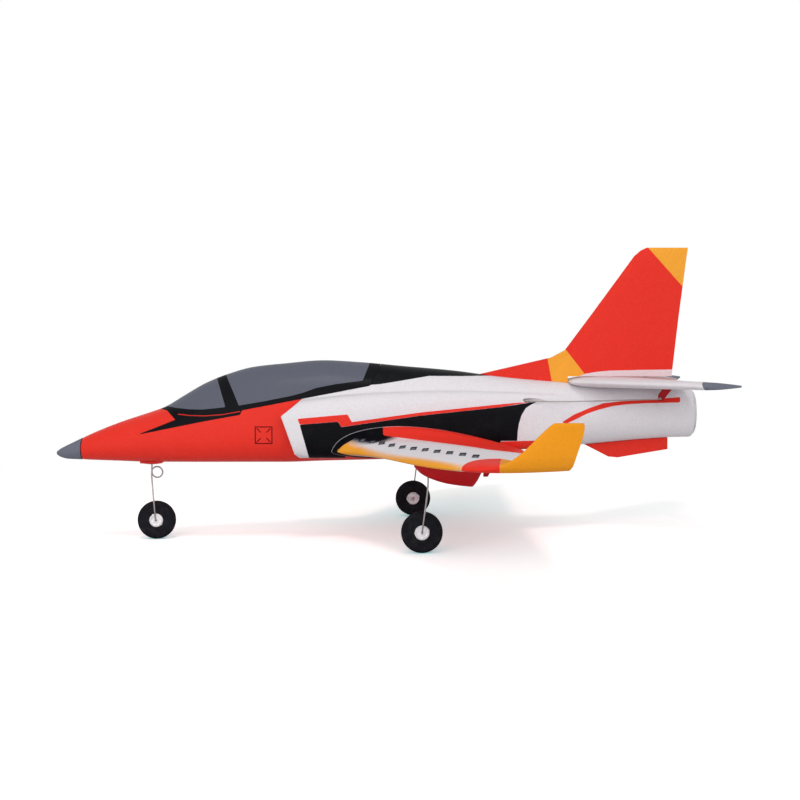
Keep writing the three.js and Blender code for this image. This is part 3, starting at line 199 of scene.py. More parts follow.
def around(count):
    """Cosine and sine at even steps round a circle."""
    return [(math.cos(2 * math.pi * i / count), math.sin(2 * math.pi * i / count)) for i in range(count)]


def section(x, centre, widest, half, up, down, power_up, power_down, count):
    """Ring across the airframe, with a roundness of its own above and below its widest height."""
    ring = []
    for across, rise in around(count):
        power, height = (power_up, up) if rise >= 0 else (power_down, down)
        y = centre + half * math.copysign(abs(across) ** (2 / power), across)
        ring.append((x, y, widest + height * math.copysign(abs(rise) ** (2 / power), rise)))
    return ring


BOX_FACES = [(0, 1, 3, 2), (4, 6, 7, 5), (0, 4, 5, 1), (2, 3, 7, 6), (0, 2, 6, 4), (1, 5, 7, 3)]


def box_corners(low, high):
    return [(x, y, z) for x in (low[0], high[0]) for y in (low[1], high[1]) for z in (low[2], high[2])]


def box_mesh(name, low, high):
    return mesh_of(name, box_corners(low, high), BOX_FACES)


def prism(name, near, far):
    """Plate between two outlines of equal count."""
    count = len(near)
    faces = [tuple(range(count)), tuple(range(2 * count - 1, count - 1, -1))]
    faces += [(i, (i + 1) % count, (i + 1) % count + count, i + count) for i in range(count)]
    return mesh_of(name, [*near, *far], faces)


def side_plate(name, outline, near, far):
    """Outline in X and Z, pulled across Y."""
    return prism(name, *([(x, y, z) for x, z in outline] for y in (near, far)))


def flat_plate(name, outline, low, high):
    """Outline in X and Y, pulled up."""
    return prism(name, *([(x, y, z) for x, y in outline] for z in (low, high)))


def round_bar(name, start, end, radius, end_radius=None, count=64):
    """Round bar or cone between two airframe points."""
    start, end = Vector(start), Vector(end)
    along = (end - start).normalized()
    side = along.orthogonal().normalized()
    other = along.cross(side)
    rings = [
        [place + (side * u + other * v) * size for u, v in around(count)]
        for place, size in ((start, radius), (end, end_radius or radius))
    ]
    return loft(name, rings, start, end)


def evaluated(work):
    """The object's mesh with its modifiers applied, instead of the object."""
    bpy.context.view_layer.update()
    graph = bpy.context.evaluated_depsgraph_get()
    result = bpy.data.meshes.new_from_object(work.evaluated_get(graph), depsgraph=graph)
    bpy.data.objects.remove(work)
    return result


def combined(mesh, operation, *tools):
    """The mesh after joining, cutting or keeping what it shares with each tool."""
    work = linked("work", mesh)
    helpers = [linked("helper", tool) for tool in tools]
    for helper in helpers:
        modifier = work.modifiers.new("combine", "BOOLEAN")
        modifier.operation = operation
        modifier.object = helper
        modifier.solver = "MANIFOLD"
    result = evaluated(work)
    for helper in helpers:
        bpy.data.objects.remove(helper)
    return result


def remeshed(mesh, size, rounds):
    """Even, slightly softened skin, as foam comes out of a mould."""
    work = linked("work", mesh)
    even = work.modifiers.new("even", "REMESH")
    even.mode = "VOXEL"
    even.voxel_size = size * 0.001
    soften = work.modifiers.new("soften", "SMOOTH")
    soften.factor = 0.5
    soften.iterations = rounds
    return evaluated(work)


# Fuselage
FUSELAGE_LENGTH = 633
NOSE_CONE_LENGTH = 26
PROFILE = 100
BODY_WIDTH = 76
CHEEK_REACH = 57.5
CHEEK_INNER = 16
SEAM, GLUE_GAP = 0.3, 0.08
OVERRUN = 14
SKIN_GRID, SKIN_ROUNDS = 1.3, 4
# rings and points on each, and the squareness of cheeks and ducts
BODY_RINGS, BODY_SIDES, CHEEK_RINGS, CHEEK_SIDES, DUCT_RINGS, DUCT_SIDES = 190, 112, 90, 72, 60, 56
CONE_RINGS, CONE_SIDES, SQUARE = 60, 96, 3
# station, top, bottom and widest height, half width, roundness above and below
BODY_SHARES = [
    [0.041, -0.247, -0.461, -0.359, 0.161, 2, 2],
    [0.055, -0.205, -0.465, -0.34, 0.19, 2, 2],
    [0.1, -0.09, -0.475, -0.31, 0.265, 2, 2.1],
    [0.15, 0.015, -0.485, -0.27, 0.345, 2, 2.2],
    [0.17, 0.06, -0.485, -0.255, 0.375, 1.9, 2.3],
    [0.2, 0.172, -0.485, -0.24, 0.405, 1.85, 2.4],
    [0.235, 0.3, -0.485, -0.225, 0.435, 1.8, 2.5],
    [0.27, 0.39, -0.485, -0.21, 0.46, 1.8, 2.5],
    [0.31, 0.46, -0.485, -0.195, 0.485, 1.8, 2.5],
    [0.36, 0.495, -0.485, -0.18, 0.5, 1.8, 2.6],
    [0.42, 0.525, -0.473, -0.16, 0.5, 1.8, 2.6],
    [0.48, 0.505, -0.465, -0.14, 0.49, 1.8, 2.6],
    [0.54, 0.47, -0.455, -0.1, 0.475, 1.85, 2.6],
    [0.62, 0.425, -0.42, -0.05, 0.46, 1.9, 2.4],
    [0.7, 0.36, -0.385, -0.02, 0.445, 1.95, 2.2],
    [0.78, 0.315, -0.347, -0.01, 0.41, 2, 2.1],
    [0.86, 0.295, -0.3, 0, 0.375, 2, 2],
    [0.93, 0.28, -0.262, 0, 0.35, 2, 2],
    [0.975, 0.262, -0.247, 0, 0.335, 2, 2],
    [1, 0.245, -0.245, 0, 0.322, 2, 2],
]
NOSE_SHARES = [
    [0.05, -0.375, -0.418, -0.397, 0.028],
    [0.19, -0.35, -0.438, -0.394, 0.06],
    [0.43, -0.318, -0.454, -0.388, 0.1],
    [0.8, -0.272, -0.459, -0.37, 0.142],
    [1, -0.247, -0.461, -0.359, 0.161],
]
NOSE_TIP_SHARE, NOSE_START = -0.395, 0.04
CHEEK_SHARES = [
    [0.345, 0.957, 0.12, -0.4],
    [0.395, 0.983, 0.15, -0.42],
    [0.458, 1, 0.195, -0.425],
    [0.521, 0.974, 0.22, -0.42],
    [0.6, 0.887, 0.23, -0.4],
    [0.68, 0.757, 0.22, -0.37],
    [0.758, 0.6, 0.2, -0.32],
    [0.82, 0.47, 0.17, -0.27],
]
LIP_SHARES = [
    [0.4, -0.46], [0.398, -0.405], [0.3775, -0.37], [0.357, -0.005], [0.376, 0.09], [0.39, 0.165],
    [0.394, 0.3],
]
DUCT_SHARES = [
    [0.33, 0, 1, -0.345, 0.065],
    [0.4, 0, 1, -0.345, 0.065],
    [0.474, -0.68, 0.75, -0.315, 0.075],
    [0.537, -1.79, 0, -0.27, 0.11],
    [0.592, -2.7, -0.93, -0.24, 0.18],
    [0.615, -2.72, -1, -0.22, 0.21],
]
MOUTH_INNER, MOUTH_OUTER = 38.5, 52.5
FIRST_STATION = BODY_SHARES[0][0]


def station_x(station):
    share = (station - FIRST_STATION) / (1 - FIRST_STATION)
    return NOSE_CONE_LENGTH + share * (FUSELAGE_LENGTH - NOSE_CONE_LENGTH)


def body_mesh(grow=0):
    stations = np.linspace(FIRST_STATION, 1, BODY_RINGS)
    ends = {0: -grow, len(stations) - 1: grow}
    rings = []
    for i, station in enumerate(stations):
        _, top, bottom, widest, half, power_up, power_down = smooth_row(BODY_SHARES, station)
        rings.append(section(
            station_x(station) + ends.get(i, 0), 0, widest * PROFILE, half * BODY_WIDTH + grow,
            (top - widest) * PROFILE + grow, (widest - bottom) * PROFILE + grow, power_up, power_down,
            BODY_SIDES,
        ))
    return loft("body", rings)


def cheek_mesh(side, grow=0):
    rings = []
    for station in np.linspace(CHEEK_SHARES[0][0], CHEEK_SHARES[-1][0], CHEEK_RINGS):
        _, outer, top, bottom = smooth_row(CHEEK_SHARES, station)
        half = (outer * CHEEK_REACH - CHEEK_INNER) / 2 + grow
        middle = side * (outer * CHEEK_REACH + CHEEK_INNER) / 2
        height = (top - bottom) * PROFILE / 2 + grow
        rings.append(section(station_x(station), middle, (top + bottom) * PROFILE / 2, half, height, height,
                             SQUARE, SQUARE, CHEEK_SIDES))
    return loft("cheek", rings)


def lip_mesh():
    slope = [(station_x(station), height * PROFILE) for station, height in LIP_SHARES]
    front = station_x(CHEEK_SHARES[0][0]) - OVERRUN
    outline = [(front, slope[0][1]), *slope, (front, slope[-1][1])]
    return side_plate("lip", outline, -CHEEK_REACH - OVERRUN, CHEEK_REACH + OVERRUN)


def duct_mesh(side):
    width = MOUTH_OUTER - MOUTH_INNER
    rings = []
    for station in np.linspace(DUCT_SHARES[0][0], DUCT_SHARES[-1][0], DUCT_RINGS):
        _, inner, outer, bottom, top = smooth_row(DUCT_SHARES, station)
        near, far = MOUTH_INNER + inner * width, MOUTH_INNER + outer * width
        height = (top - bottom) * PROFILE / 2
        rings.append(section(station_x(station), side * (near + far) / 2, (top + bottom) * PROFILE / 2,
                             (far - near) / 2, height, height, SQUARE, SQUARE, DUCT_SIDES))
    return loft("duct", rings)


HATCH_FRONT, HATCH_REAR, HATCH_LEAN = 106.5, 311.7, 12
SILL_FRONT, SILL_REAR, SILL_BREAK, SILL_SAG = 4.2, 27.8, 186, 4
HATCH_TOP, HATCH_WALL, SILL_STEPS = 49.4, 5, 24
SILL_SLOPE = (SILL_REAR - SILL_FRONT) / (HATCH_REAR - SILL_BREAK)


def sill_at(x):
    return SILL_REAR - (HATCH_REAR - x) * SILL_SLOPE


def hatch_region(lift, back):
    lean = HATCH_LEAN / (HATCH_TOP - SILL_REAR)
    high = HATCH_TOP + OVERRUN + lift
    rear = HATCH_REAR - back
    sagging = [
        (mix(HATCH_FRONT, SILL_BREAK, share), SILL_FRONT + lift - SILL_SAG * math.sin(math.pi * share))
        for share in np.linspace(0, 1, SILL_STEPS)
    ]
    outline = [
        (HATCH_FRONT - OVERRUN, SILL_FRONT + lift), *sagging, (rear, sill_at(rear) + lift),
        (rear + lean * (high - SILL_REAR), high), (HATCH_FRONT - OVERRUN, high),
    ]
    return side_plate("hatch_region", outline, -BODY_WIDTH - OVERRUN, BODY_WIDTH + OVERRUN)


# Wing
SEMI_SPAN = 327.7
WING_LEAD, WING_CHORD, WING_HEIGHT, WING_RISE, WING_DEPTH = 278.4, 178.6, -34.2, 45.5, 16
TRAILING_THICKNESS = 1.5
AILERON_INNER, AILERON_OUTER, AILERON_TRAVEL, HINGE_SHARE = 125, 298, math.radians(20), 0.69
HINGE_FILL, END_GAP, HINGE_ROOM = 0.96, 0.7, 0.75
FOIL_STEPS, WING_RINGS, TAIL_RINGS = 36, 130, 60
# reach, leading and trailing edge, height, upper and lower fullness, tilt as a share of a quarter turn
WING_SHARES = [
    [0.06, -0.13, 0.997, -0.011, 1.66, 0.44, 0.02],
    [0.146, -0.045, 1.002, 0.006, 1.62, 0.44, 0.02],
    [0.171, -0.014, 1.003, 0.011, 1.5, 0.375, 0.02],
    [0.201, 0.036, 1.006, 0.018, 1.0, 0.34, 0.02],
    [0.244, 0.094, 1.008, 0.026, 0.675, 0.31, 0.02],
    [0.922, 0.589, 1.052, 0.158, 0.325, 0.15, 0.02],
    [0.958, 0.647, 1.054, 0.18, 0.25, 0.138, 0.17],
    [0.981, 0.748, 1.064, 0.257, 0.19, 0.138, 0.55],
    [0.992, 0.818, 1.076, 0.422, 0.15, 0.138, 0.87],
    [0.999, 0.964, 1.11, 0.96, 0.138, 0.125, 0.93],
    [1, 0.978, 1.106, 1, 0.06, 0.06, 0.93],
]
FOIL_SHARES, FOIL_POWERS, FOIL_SCALE = (0.2969, -0.126, -0.3516, 0.2843, -0.1015), (0.5, 1, 2, 3, 4), 10


def foil_fullness(share):
    """Half thickness of the aerofoil at a share of its chord, about 1 where it is thickest."""
    return FOIL_SCALE * sum(value * share**power for value, power in zip(FOIL_SHARES, FOIL_POWERS))


def foil_points(upper, lower):
    """Shares of the chord with heights, from the trailing edge over the top and back below."""
    points = []
    for i in range(FOIL_STEPS + 1):
        share = (1 + math.cos(math.pi * i / FOIL_STEPS)) / 2
        points.append((share, upper * foil_fullness(share) + share * TRAILING_THICKNESS / 2))
    for i in range(1, FOIL_STEPS + 1):
        share = (1 - math.cos(math.pi * i / FOIL_STEPS)) / 2
        points.append((share, -lower * foil_fullness(share) - share * TRAILING_THICKNESS / 2))
    return points


def wing_rows(count):
    """Wing sections along the span and round the turned-up tip, evenly spaced along that line."""
    table = np.array(WING_SHARES)
    steps = np.hypot(np.diff(table[:, 0]) * SEMI_SPAN, np.diff(table[:, 3]) * WING_RISE)
    along = np.concatenate([[0], np.cumsum(steps)])
    places = np.unique(np.concatenate([np.linspace(0, along[-1], count), along]))
    return smooth_rows(np.column_stack([along, table]), places)[:, 1:]


def wing_mesh(side, grow=0):
    rings = []
    for reach, lead, trail, height, upper, lower, tilt in wing_rows(WING_RINGS):
        front, rear = WING_LEAD + lead * WING_CHORD, WING_LEAD + trail * WING_CHORD
        turn = tilt * math.pi / 2
        ring = []
        for share, depth in foil_points(upper * WING_DEPTH, lower * WING_DEPTH):
            rise = depth + math.copysign(grow, depth)
            ring.append((
                mix(front - grow, rear + grow, share), side * (reach * SEMI_SPAN - rise * math.sin(turn)),
                WING_HEIGHT + height * WING_RISE + rise * math.cos(turn),
            ))
        rings.append(ring)
    return loft("wing", rings)


def row_at(table, value):
    """Row of a table at a value of its first column, on straight lines between its rows."""
    rows = np.array(table, float)
    return np.array([np.interp(value, rows[:, 0], column) for column in rows.T])


def wing_hinge(side, reach):
    _, lead, trail, height, upper, lower, _ = row_at(WING_SHARES, reach / SEMI_SPAN)
    fullness = foil_fullness(HINGE_SHARE) * WING_DEPTH / 2
    x = WING_LEAD + mix(lead, trail, HINGE_SHARE) * WING_CHORD
    z = WING_HEIGHT + height * WING_RISE + (upper - lower) * fullness
    half = (upper + lower) * fullness + HINGE_SHARE * TRAILING_THICKNESS / 2
    return Vector((x, side * reach, z)), half, WING_LEAD + trail * WING_CHORD + OVERRUN


def split_at_hinge(whole, inner, outer, travel):
    """The moving surface with its round nose, and the fixed part with the hollow that takes it."""
    (start, start_half, _), (end, end_half, rear) = inner, outer
    low, high = min(start.y, end.y), max(start.y, end.y)
    slope = (end.x - start.x) / (end.y - start.y)

    def behind(grow):
        near, far = low - grow, high + grow
        lines = [start.x + (y - start.y) * slope for y in (near, far)]
        outline = [(lines[0], near), (rear, near), (rear, far), (lines[1], far)]
        return flat_plate("behind", outline, end.z - OVERRUN, end.z + OVERRUN)

    def nose(grow, radius_of):
        spare = (end - start).normalized() * OVERRUN
        growth = (radius_of(end_half) - radius_of(start_half)) * OVERRUN / (end - start).length
        cone = round_bar("nose", start - spare, end + spare, radius_of(start_half) - growth,
                         radius_of(end_half) + growth)
        limits = box_mesh("limits", (min(start.x, end.x) - OVERRUN, low - grow, end.z - OVERRUN),
                          (rear, high + grow, end.z + OVERRUN))
        return combined(cone, "INTERSECT", limits)

    moving = combined(whole, "INTERSECT", behind(0))
    moving = combined(moving, "UNION", nose(0, lambda half: half * HINGE_FILL))
    hollow = nose(END_GAP, lambda half: half / math.cos(travel) + HINGE_ROOM)
    return moving, combined(whole, "DIFFERENCE", behind(END_GAP), hollow)


# Tail
TAIL_HEIGHT, TAIL_REACH, TAIL_LEAD, TAIL_CHORD, TAIL_DEPTH = 31, 129, 509.3, 112.7, 10
ELEVATOR_INNER, ELEVATOR_OUTER, ELEVATOR_TRAVEL = 25, 116, math.radians(18)
ELEVATOR_HINGE = (592.5, 622)
# reach, leading and trailing edge, fullness
TAIL_SHARES = [
    [0, 0, 1, 1], [0.17, 0, 1, 1], [0.93, 0.86, 1.24, 0.68], [0.975, 0.905, 1.255, 0.6],
    [0.993, 0.94, 1.255, 0.5], [1, 0.965, 1.248, 0.34],
]
FIN_LEAD, FIN_TRAIL, FIN_BASE, FIN_RISE, FIN_SWEEP, FIN_DEPTH, FIN_GRID = 481, 613, 28, 136.5, 107, 10, 3
# height, leading and trailing edge, fullness
FIN_SHARES = [[0, 0, 0, 1], [0.5, 0.475, 0.07, 0.78], [0.94, 0.885, 0.14, 0.56], [0.98, 0.945, 0.148, 0.46],
              [1, 1, 0.15, 0.2]]
DORSAL_FRONT, DORSAL_FOOT, DORSAL_KNEE, DORSAL_HEIGHT, DORSAL_DEPTH = 419.5, 38, 493, 55, 6
DORSAL_REAR_SHARE, DORSAL_RISE_SHARE = 0.36, 0.3
VENTRAL_FRONT, VENTRAL_LENGTH, VENTRAL_DROP, VENTRAL_DEPTH = 523.7, 86.5, 46, 5
VENTRAL_SHARES = [(0, 0.66), (0.5, 0.6), (1, 0.52), (1, 0.8), (0.42, 0.98), (0.31, 0.96)]


def tail_mesh(grow=0):
    rows = row_lines(TAIL_SHARES, TAIL_RINGS)
    rows = np.vstack([rows[::-1] * (-1, 1, 1, 1), rows[1:]])
    rings = []
    for reach, lead, trail, fullness in rows:
        front, rear = TAIL_LEAD + lead * TAIL_CHORD, TAIL_LEAD + trail * TAIL_CHORD
        rings.append([
            (mix(front - grow, rear + grow, share), reach * (TAIL_REACH + grow),
             TAIL_HEIGHT + height + math.copysign(grow, height))
            for share, height in foil_points(fullness * TAIL_DEPTH / 2, fullness * TAIL_DEPTH / 2)
        ])
    return loft("tail", rings)


def row_lines(table, count):
    """A table's rows with more between them, on straight lines, with its own rows kept."""
    rows = np.array(table, float)
    places = np.unique(np.concatenate([np.linspace(rows[0, 0], rows[-1, 0], count), rows[:, 0]]))
    return np.column_stack([np.interp(places, rows[:, 0], column) for column in rows.T])


def tail_hinge(side, reach):
    x = mix(*ELEVATOR_HINGE, (reach - ELEVATOR_INNER) / (ELEVATOR_OUTER - ELEVATOR_INNER))
    _, lead, trail, fullness = row_at(TAIL_SHARES, reach / TAIL_REACH)
    front, rear = TAIL_LEAD + lead * TAIL_CHORD, TAIL_LEAD + trail * TAIL_CHORD
    share = (x - front) / (rear - front)
    half = fullness * TAIL_DEPTH / 2 * foil_fullness(share) + share * TRAILING_THICKNESS / 2
    return Vector((x, side * reach, TAIL_HEIGHT)), half, rear + OVERRUN


def fin_mesh():
    rings = []
    for rise, lead, trail, fullness in row_lines(FIN_SHARES, TAIL_RINGS):
        front, rear = FIN_LEAD + lead * FIN_SWEEP, FIN_TRAIL + trail * FIN_SWEEP
        rings.append([
            (mix(front, rear, share), depth, FIN_BASE + rise * FIN_RISE)
            for share, depth in foil_points(fullness * FIN_DEPTH / 2, fullness * FIN_DEPTH / 2)
        ])
    rear = FIN_LEAD + FIN_SWEEP * DORSAL_REAR_SHARE
    dorsal = side_plate("dorsal", [
        (DORSAL_FRONT, TAIL_HEIGHT), (DORSAL_FRONT, DORSAL_FOOT), (DORSAL_KNEE, DORSAL_HEIGHT),
        (rear, FIN_BASE + FIN_RISE * DORSAL_RISE_SHARE), (rear, TAIL_HEIGHT),
    ], -DORSAL_DEPTH / 2, DORSAL_DEPTH / 2)
    return combined(loft("fin", rings), "UNION", dorsal)


# Linkage: X along the rod, Z up, Y along the pivot
def linkage_frame(origin, line):
    pivot = line.normalized()
    if pivot.y < 0:
        pivot = -pivot
    aft = pivot.cross(Vector((0, 0, 1))).normalized()
    return Matrix((aft, pivot, aft.cross(pivot))).transposed(), origin


def at_linkage(frame_of, points):
    turn, origin = frame_of
    return [turn @ Vector(point) + origin for point in points]


ROD_RADIUS, HORN_THICKNESS, HORN_BASE, ARM_WIDTH, ARM_THICKNESS = 0.6, 1.6, 10, 4, 1.4
PIVOT_GAP, BESIDE_GAP = 0.35, 0.5
SERVO_LENGTH, SERVO_HEIGHT, SERVO_SHAFT, SERVO_BOSS, SERVO_TAB = 19, 14, 5, 2.2, 3.5
AILERON_ARM, AILERON_ROD_SPAN, AILERON_SERVO_DROP = 12, 30.4, 9
AILERON_HORN_REACH, AILERON_HORN_DEPTH = 137, 20
ELEVATOR_ARM, ELEVATOR_HORN_REACH, ELEVATOR_HORN_DEPTH = 15.8, 35, 18
ELEVATOR_SERVO = (330, 33.5)
BARREL_HALF, ROD_BEND, ROD_BESIDE, TUNNEL_RADIUS, HOLE_SIDES = 5, 2.5, 3.3, 3, 24
WIRE_SIDES, WIRE_STEP, TUNNEL_STEPS, AILERON_ROD_STEPS, ELEVATOR_ROD_STEPS = 14, 0.04, 60, 60, 160
ELEVATOR_HORN_FRONT, ELEVATOR_HORN_REAR = 4.5, 15
ELEVATOR_ROD_SHARES = [
    [0.073, 0.365, 0.196], [0.153, 0.534, 0.214], [0.233, 0.672, 0.202], [0.422, 0.807, 0.146],
    [0.589, 0.901, 0.128], [0.836, 0.99, 0.139],
]


def wire_path(points, count):
    """Points at even steps along a smooth curve through the given points."""
    points = [np.array(point, float) for point in points]
    points = [2 * points[0] - points[1], *points, 2 * points[-1] - points[-2]]
    path = []
    for i in range(1, len(points) - 2):
        p0, p1, p2, p3 = points[i - 1:i + 3]
        a, b, c = (max(np.linalg.norm(q - p), 1e-4) ** 0.5 for p, q in ((p0, p1), (p1, p2), (p2, p3)))
        leave = ((p1 - p0) / a - (p2 - p0) / (a + b) + (p2 - p1) / b) * b
        reach = ((p2 - p1) / b - (p3 - p1) / (b + c) + (p3 - p2) / c) * b
        path += [hermite(p1, p2, leave, reach, t) for t in np.arange(0, 1, WIRE_STEP)]
    path.append(points[-2])
    path = np.array(path)
    along = np.concatenate([[0], np.cumsum(np.linalg.norm(np.diff(path, axis=0), axis=1))])
    places = np.linspace(0, along[-1], count)
    return np.column_stack([np.interp(places, along, column) for column in path.T])


def wire_mesh(name, points, radius, count):
    path = wire_path(points, count)
    rings = []
    across = None
    for i, point in enumerate(path):
        ahead = Vector(path[min(i + 1, count - 1)] - path[max(i - 1, 0)]).normalized()
        across = (ahead.orthogonal() if across is None else across - ahead * across.dot(ahead)).normalized()
        other = ahead.cross(across)
        rings.append([Vector(point) + (across * u + other * v) * radius for u, v in around(WIRE_SIDES)])
    return loft(name, rings, Vector(path[0]), Vector(path[-1]))


def elevator_horn_data(side):
    inner, outer = tail_hinge(side, ELEVATOR_INNER), tail_hinge(side, ELEVATOR_OUTER)
    line = (outer[0] - inner[0]).normalized()
    point, half, _ = tail_hinge(side, ELEVATOR_HORN_REACH)
    return inner, outer, point, half, linkage_frame(point, line), ELEVATOR_ARM * abs(line.y)


def elevator_rod_points(side):
    _, _, point, _, _, arm = elevator_horn_data(side)
    servo_x, servo_height = ELEVATOR_SERVO
    start, end = servo_height - arm, point.z - ELEVATOR_ARM
    outside = ELEVATOR_HORN_REACH + HORN_THICKNESS / 2 + ROD_BESIDE
    return [
        (servo_x, side * BARREL_HALF * 0.24, start),
        (servo_x, side * BARREL_HALF, start),
        (servo_x, side * (BARREL_HALF + ROD_BEND * 0.6), start),
        (servo_x + ROD_BEND, side * (BARREL_HALF + ROD_BEND * 1.5), start),
        *((mix(servo_x, point.x, along), side * outside * out, rise * PROFILE)
          for along, out, rise in ELEVATOR_ROD_SHARES),
        (point.x - ROD_BEND * 1.6, side * (outside + ROD_BEND * 0.3), end),
        (point.x, side * outside, end),
        (point.x, side * (ELEVATOR_HORN_REACH - HORN_THICKNESS / 2 - ROD_BESIDE), end),
    ]


def horn_mesh(frame_of, depth, arm, surface, front=HORN_THICKNESS, rear=HORN_BASE):
    """Control horn below a hinge line: a plate with a hole for the rod's end."""
    outline = [(front, -surface), (rear, -surface), (ARM_WIDTH / 2, -depth), (-ARM_WIDTH / 2, -depth),
               (-ARM_WIDTH / 2, -arm + ARM_WIDTH)]
    half = HORN_THICKNESS / 2
    plate = prism("horn", *(at_linkage(frame_of, [(x, y, z) for x, z in outline]) for y in (-half, half)))
    start, end = at_linkage(frame_of, [(0, -HORN_THICKNESS, -arm), (0, HORN_THICKNESS, -arm)])
    hole = round_bar("hole", start, end, ROD_RADIUS + PIVOT_GAP * 2.4, count=HOLE_SIDES)
    return combined(plate, "DIFFERENCE", hole)


# Fan, ducts and equipment bay
FAN_LENGTH, FAN_RADIUS, FAN_WALL, FAN_HUB = 54, 25.2, 2.3, 11
TUBE_WALL, NOZZLE_RADIUS, NOZZLE_STEP = 0.9, 21.6, 2
FAN_REAR = FAN_FACE + FAN_LENGTH
TUBE_FRONT, TUBE_REAR = FAN_REAR + SEAM, FUSELAGE_LENGTH + NOZZLE_STEP
BAY_FRONT, BAY_STEP, BAY_REAR, BAY_FLOOR, BAY_HALF, WELL_HALF, WELL_ROOF = 84, 140, 280, -38, 21, 14, -14
MAGNET_X, MAGNET_RADIUS, MAGNET_THICKNESS = 297, 3, 2
# Room for the elevator servo, from the left to the right, with its channel to the bay
SERVO_CAVE_LEFT, SERVO_CAVE_RIGHT = -14.5, 19
SERVO_CAVE = [
    (BAY_REAR - SEAM, 13.5), (349, 13.5), (349, 38.5), (320.5, 38.5), (320.5, 20), (BAY_REAR - SEAM, 20),
]


def tube_radius(x):
    return mix(FAN_RADIUS + TUBE_WALL, NOZZLE_RADIUS, (x - TUBE_FRONT) / (TUBE_REAR - TUBE_FRONT))


def along_x(name, start, end, radius, end_radius=None):
    return round_bar(name, (start, 0, 0), (end, 0, 0), radius, end_radius, 96)


def magnet_pocket(level):
    """Room for a magnet above or below the sill, open at the sill."""
    normal = Vector((-SILL_SLOPE, 0, 1)).normalized()
    face = Vector((MAGNET_X, 0, sill_at(MAGNET_X))) + normal * (SEAM if level > 0 else 0)
    return round_bar("magnet_pocket", face - normal * level * MAGNET_THICKNESS,
                     face + normal * level * (MAGNET_THICKNESS + SEAM), MAGNET_RADIUS + SEAM, count=32)


def fuselage_cuts():
    past = FUSELAGE_LENGTH + OVERRUN
    mount_half, mount_side = MOUNT_LENGTH / 2 + SEAM, MOUNT_WIDTH / 2 + SEAM
    return [
        *[duct_mesh(side) for _, side in SIDES],
        box_mesh("well", (BAY_FRONT, -WELL_HALF, BAY_FLOOR), (BAY_STEP + SEAM, WELL_HALF, WELL_ROOF)),
        box_mesh("bay", (BAY_STEP, -BAY_HALF, BAY_FLOOR), (BAY_REAR, BAY_HALF, HATCH_TOP + OVERRUN)),
        hatch_region(0, 0),
        along_x("fan_pocket", FAN_FACE - SEAM, FAN_REAR + SEAM, FAN_RADIUS + FAN_WALL + SEAM),
        along_x("bore", FAN_REAR, past, tube_radius(FAN_REAR) + SEAM, tube_radius(past) + SEAM),
        along_x("plenum", FAN_FACE - OVERRUN, FAN_FACE, FAN_HUB * 1.6, FAN_RADIUS),
        tail_mesh(GLUE_GAP),
        box_mesh("mount_pocket", (NOSE_LEG_X - mount_half, -mount_side, -PROFILE),
                 (NOSE_LEG_X + mount_half, mount_side, WELL_ROOF)),
        side_plate("servo_cave", SERVO_CAVE, SERVO_CAVE_LEFT, SERVO_CAVE_RIGHT),
        *[wire_mesh("tunnel", elevator_rod_points(side)[2:10], TUNNEL_RADIUS, TUNNEL_STEPS)
          for _, side in SIDES],
        magnet_pocket(-1),
    ]


# Undercarriage and pods
WIRE_RADIUS, WHEEL_RADIUS, RIM_RADIUS, TYRE_WIDTH, HUB_WIDTH = 0.75, 19, 6.7, 12, 14
CAP_RADIUS, CAP_WIDTH, AXLE_PLAY, DISH_DEPTH, BOSS_DEPTH, SPOKES, SPOKE_HALF = 2.2, 2, 0.1, 1.6, 0.4, 6, 0.45
# width and radius of the tyre's tread
TREAD_SHARES = [(0.5, 0.84), (0.38, 0.96), (0.16, 1)]
NOSE_LEG_X, NOSE_LEG_OFFSET = 94.5, 10
SPRING_RADIUS, SPRING_PITCH, SPRING_HEIGHT, SPRING_STEPS = 5.4, 2.3, -58.8, 12
MAIN_AXLE, MAIN_WHEEL_REACH, MAIN_LEG_REACH, MAIN_LEG_X, MAIN_LEG_TOP = (359, -101.2), 130, 140, 364, -38.5
WIRE_BEND, MAIN_LEG_STEPS, NOSE_LEG_STEPS = 2, 90, 260
MOUNT_LENGTH, MOUNT_WIDTH, MOUNT_TOP = 21, 14, -30
FOOT_LENGTH, FOOT_WIDTH, FOOT_DEPTH, BELLY, DOME_STEPS, DOME_SIDES = 24, 18, 2.6, -48.5, 24, 72
POD_REACH, POD_FRONT, POD_LENGTH, POD_HALF = 135, 350.5, 62, 14.5
POD_BOTTOM, POD_TOP, POD_WALL, POD_REAR_WALL, POD_SLOT = -58.8, -28, 1.8, 5, 10
POD_POWER, POD_RINGS, POD_SIDES = 4.2, 48, 72
# station, half width, depth
POD_SHARES = [[0.02, 0.25, 0.42], [0.12, 0.62, 0.62], [0.28, 0.86, 0.78], [0.5, 0.98, 0.91], [0.76, 1, 0.985],
              [0.86, 0.98, 1], [0.92, 0.965, 0.88], [1, 0.94, 0.58]]


def axle_ends(x, leg_y, end_y, height):
    inward = math.copysign(WIRE_BEND, end_y - leg_y)
    return [(x, leg_y + inward * 0.25, height + WIRE_BEND * 0.25), (x, leg_y + inward, height),
            (x, leg_y + inward * 1.4, height), (x, end_y, height)]


def pod_shell(side, wall):
    return loft("pod", [
        section(POD_FRONT + along * POD_LENGTH, side * POD_REACH, POD_TOP, half * POD_HALF - wall, POD_WALL,
                depth * (POD_TOP - POD_BOTTOM) - wall, POD_POWER, POD_POWER, POD_SIDES)
        for along, half, depth in smooth_rows(POD_SHARES, np.linspace(POD_SHARES[0][0], 1, POD_RINGS))
    ])


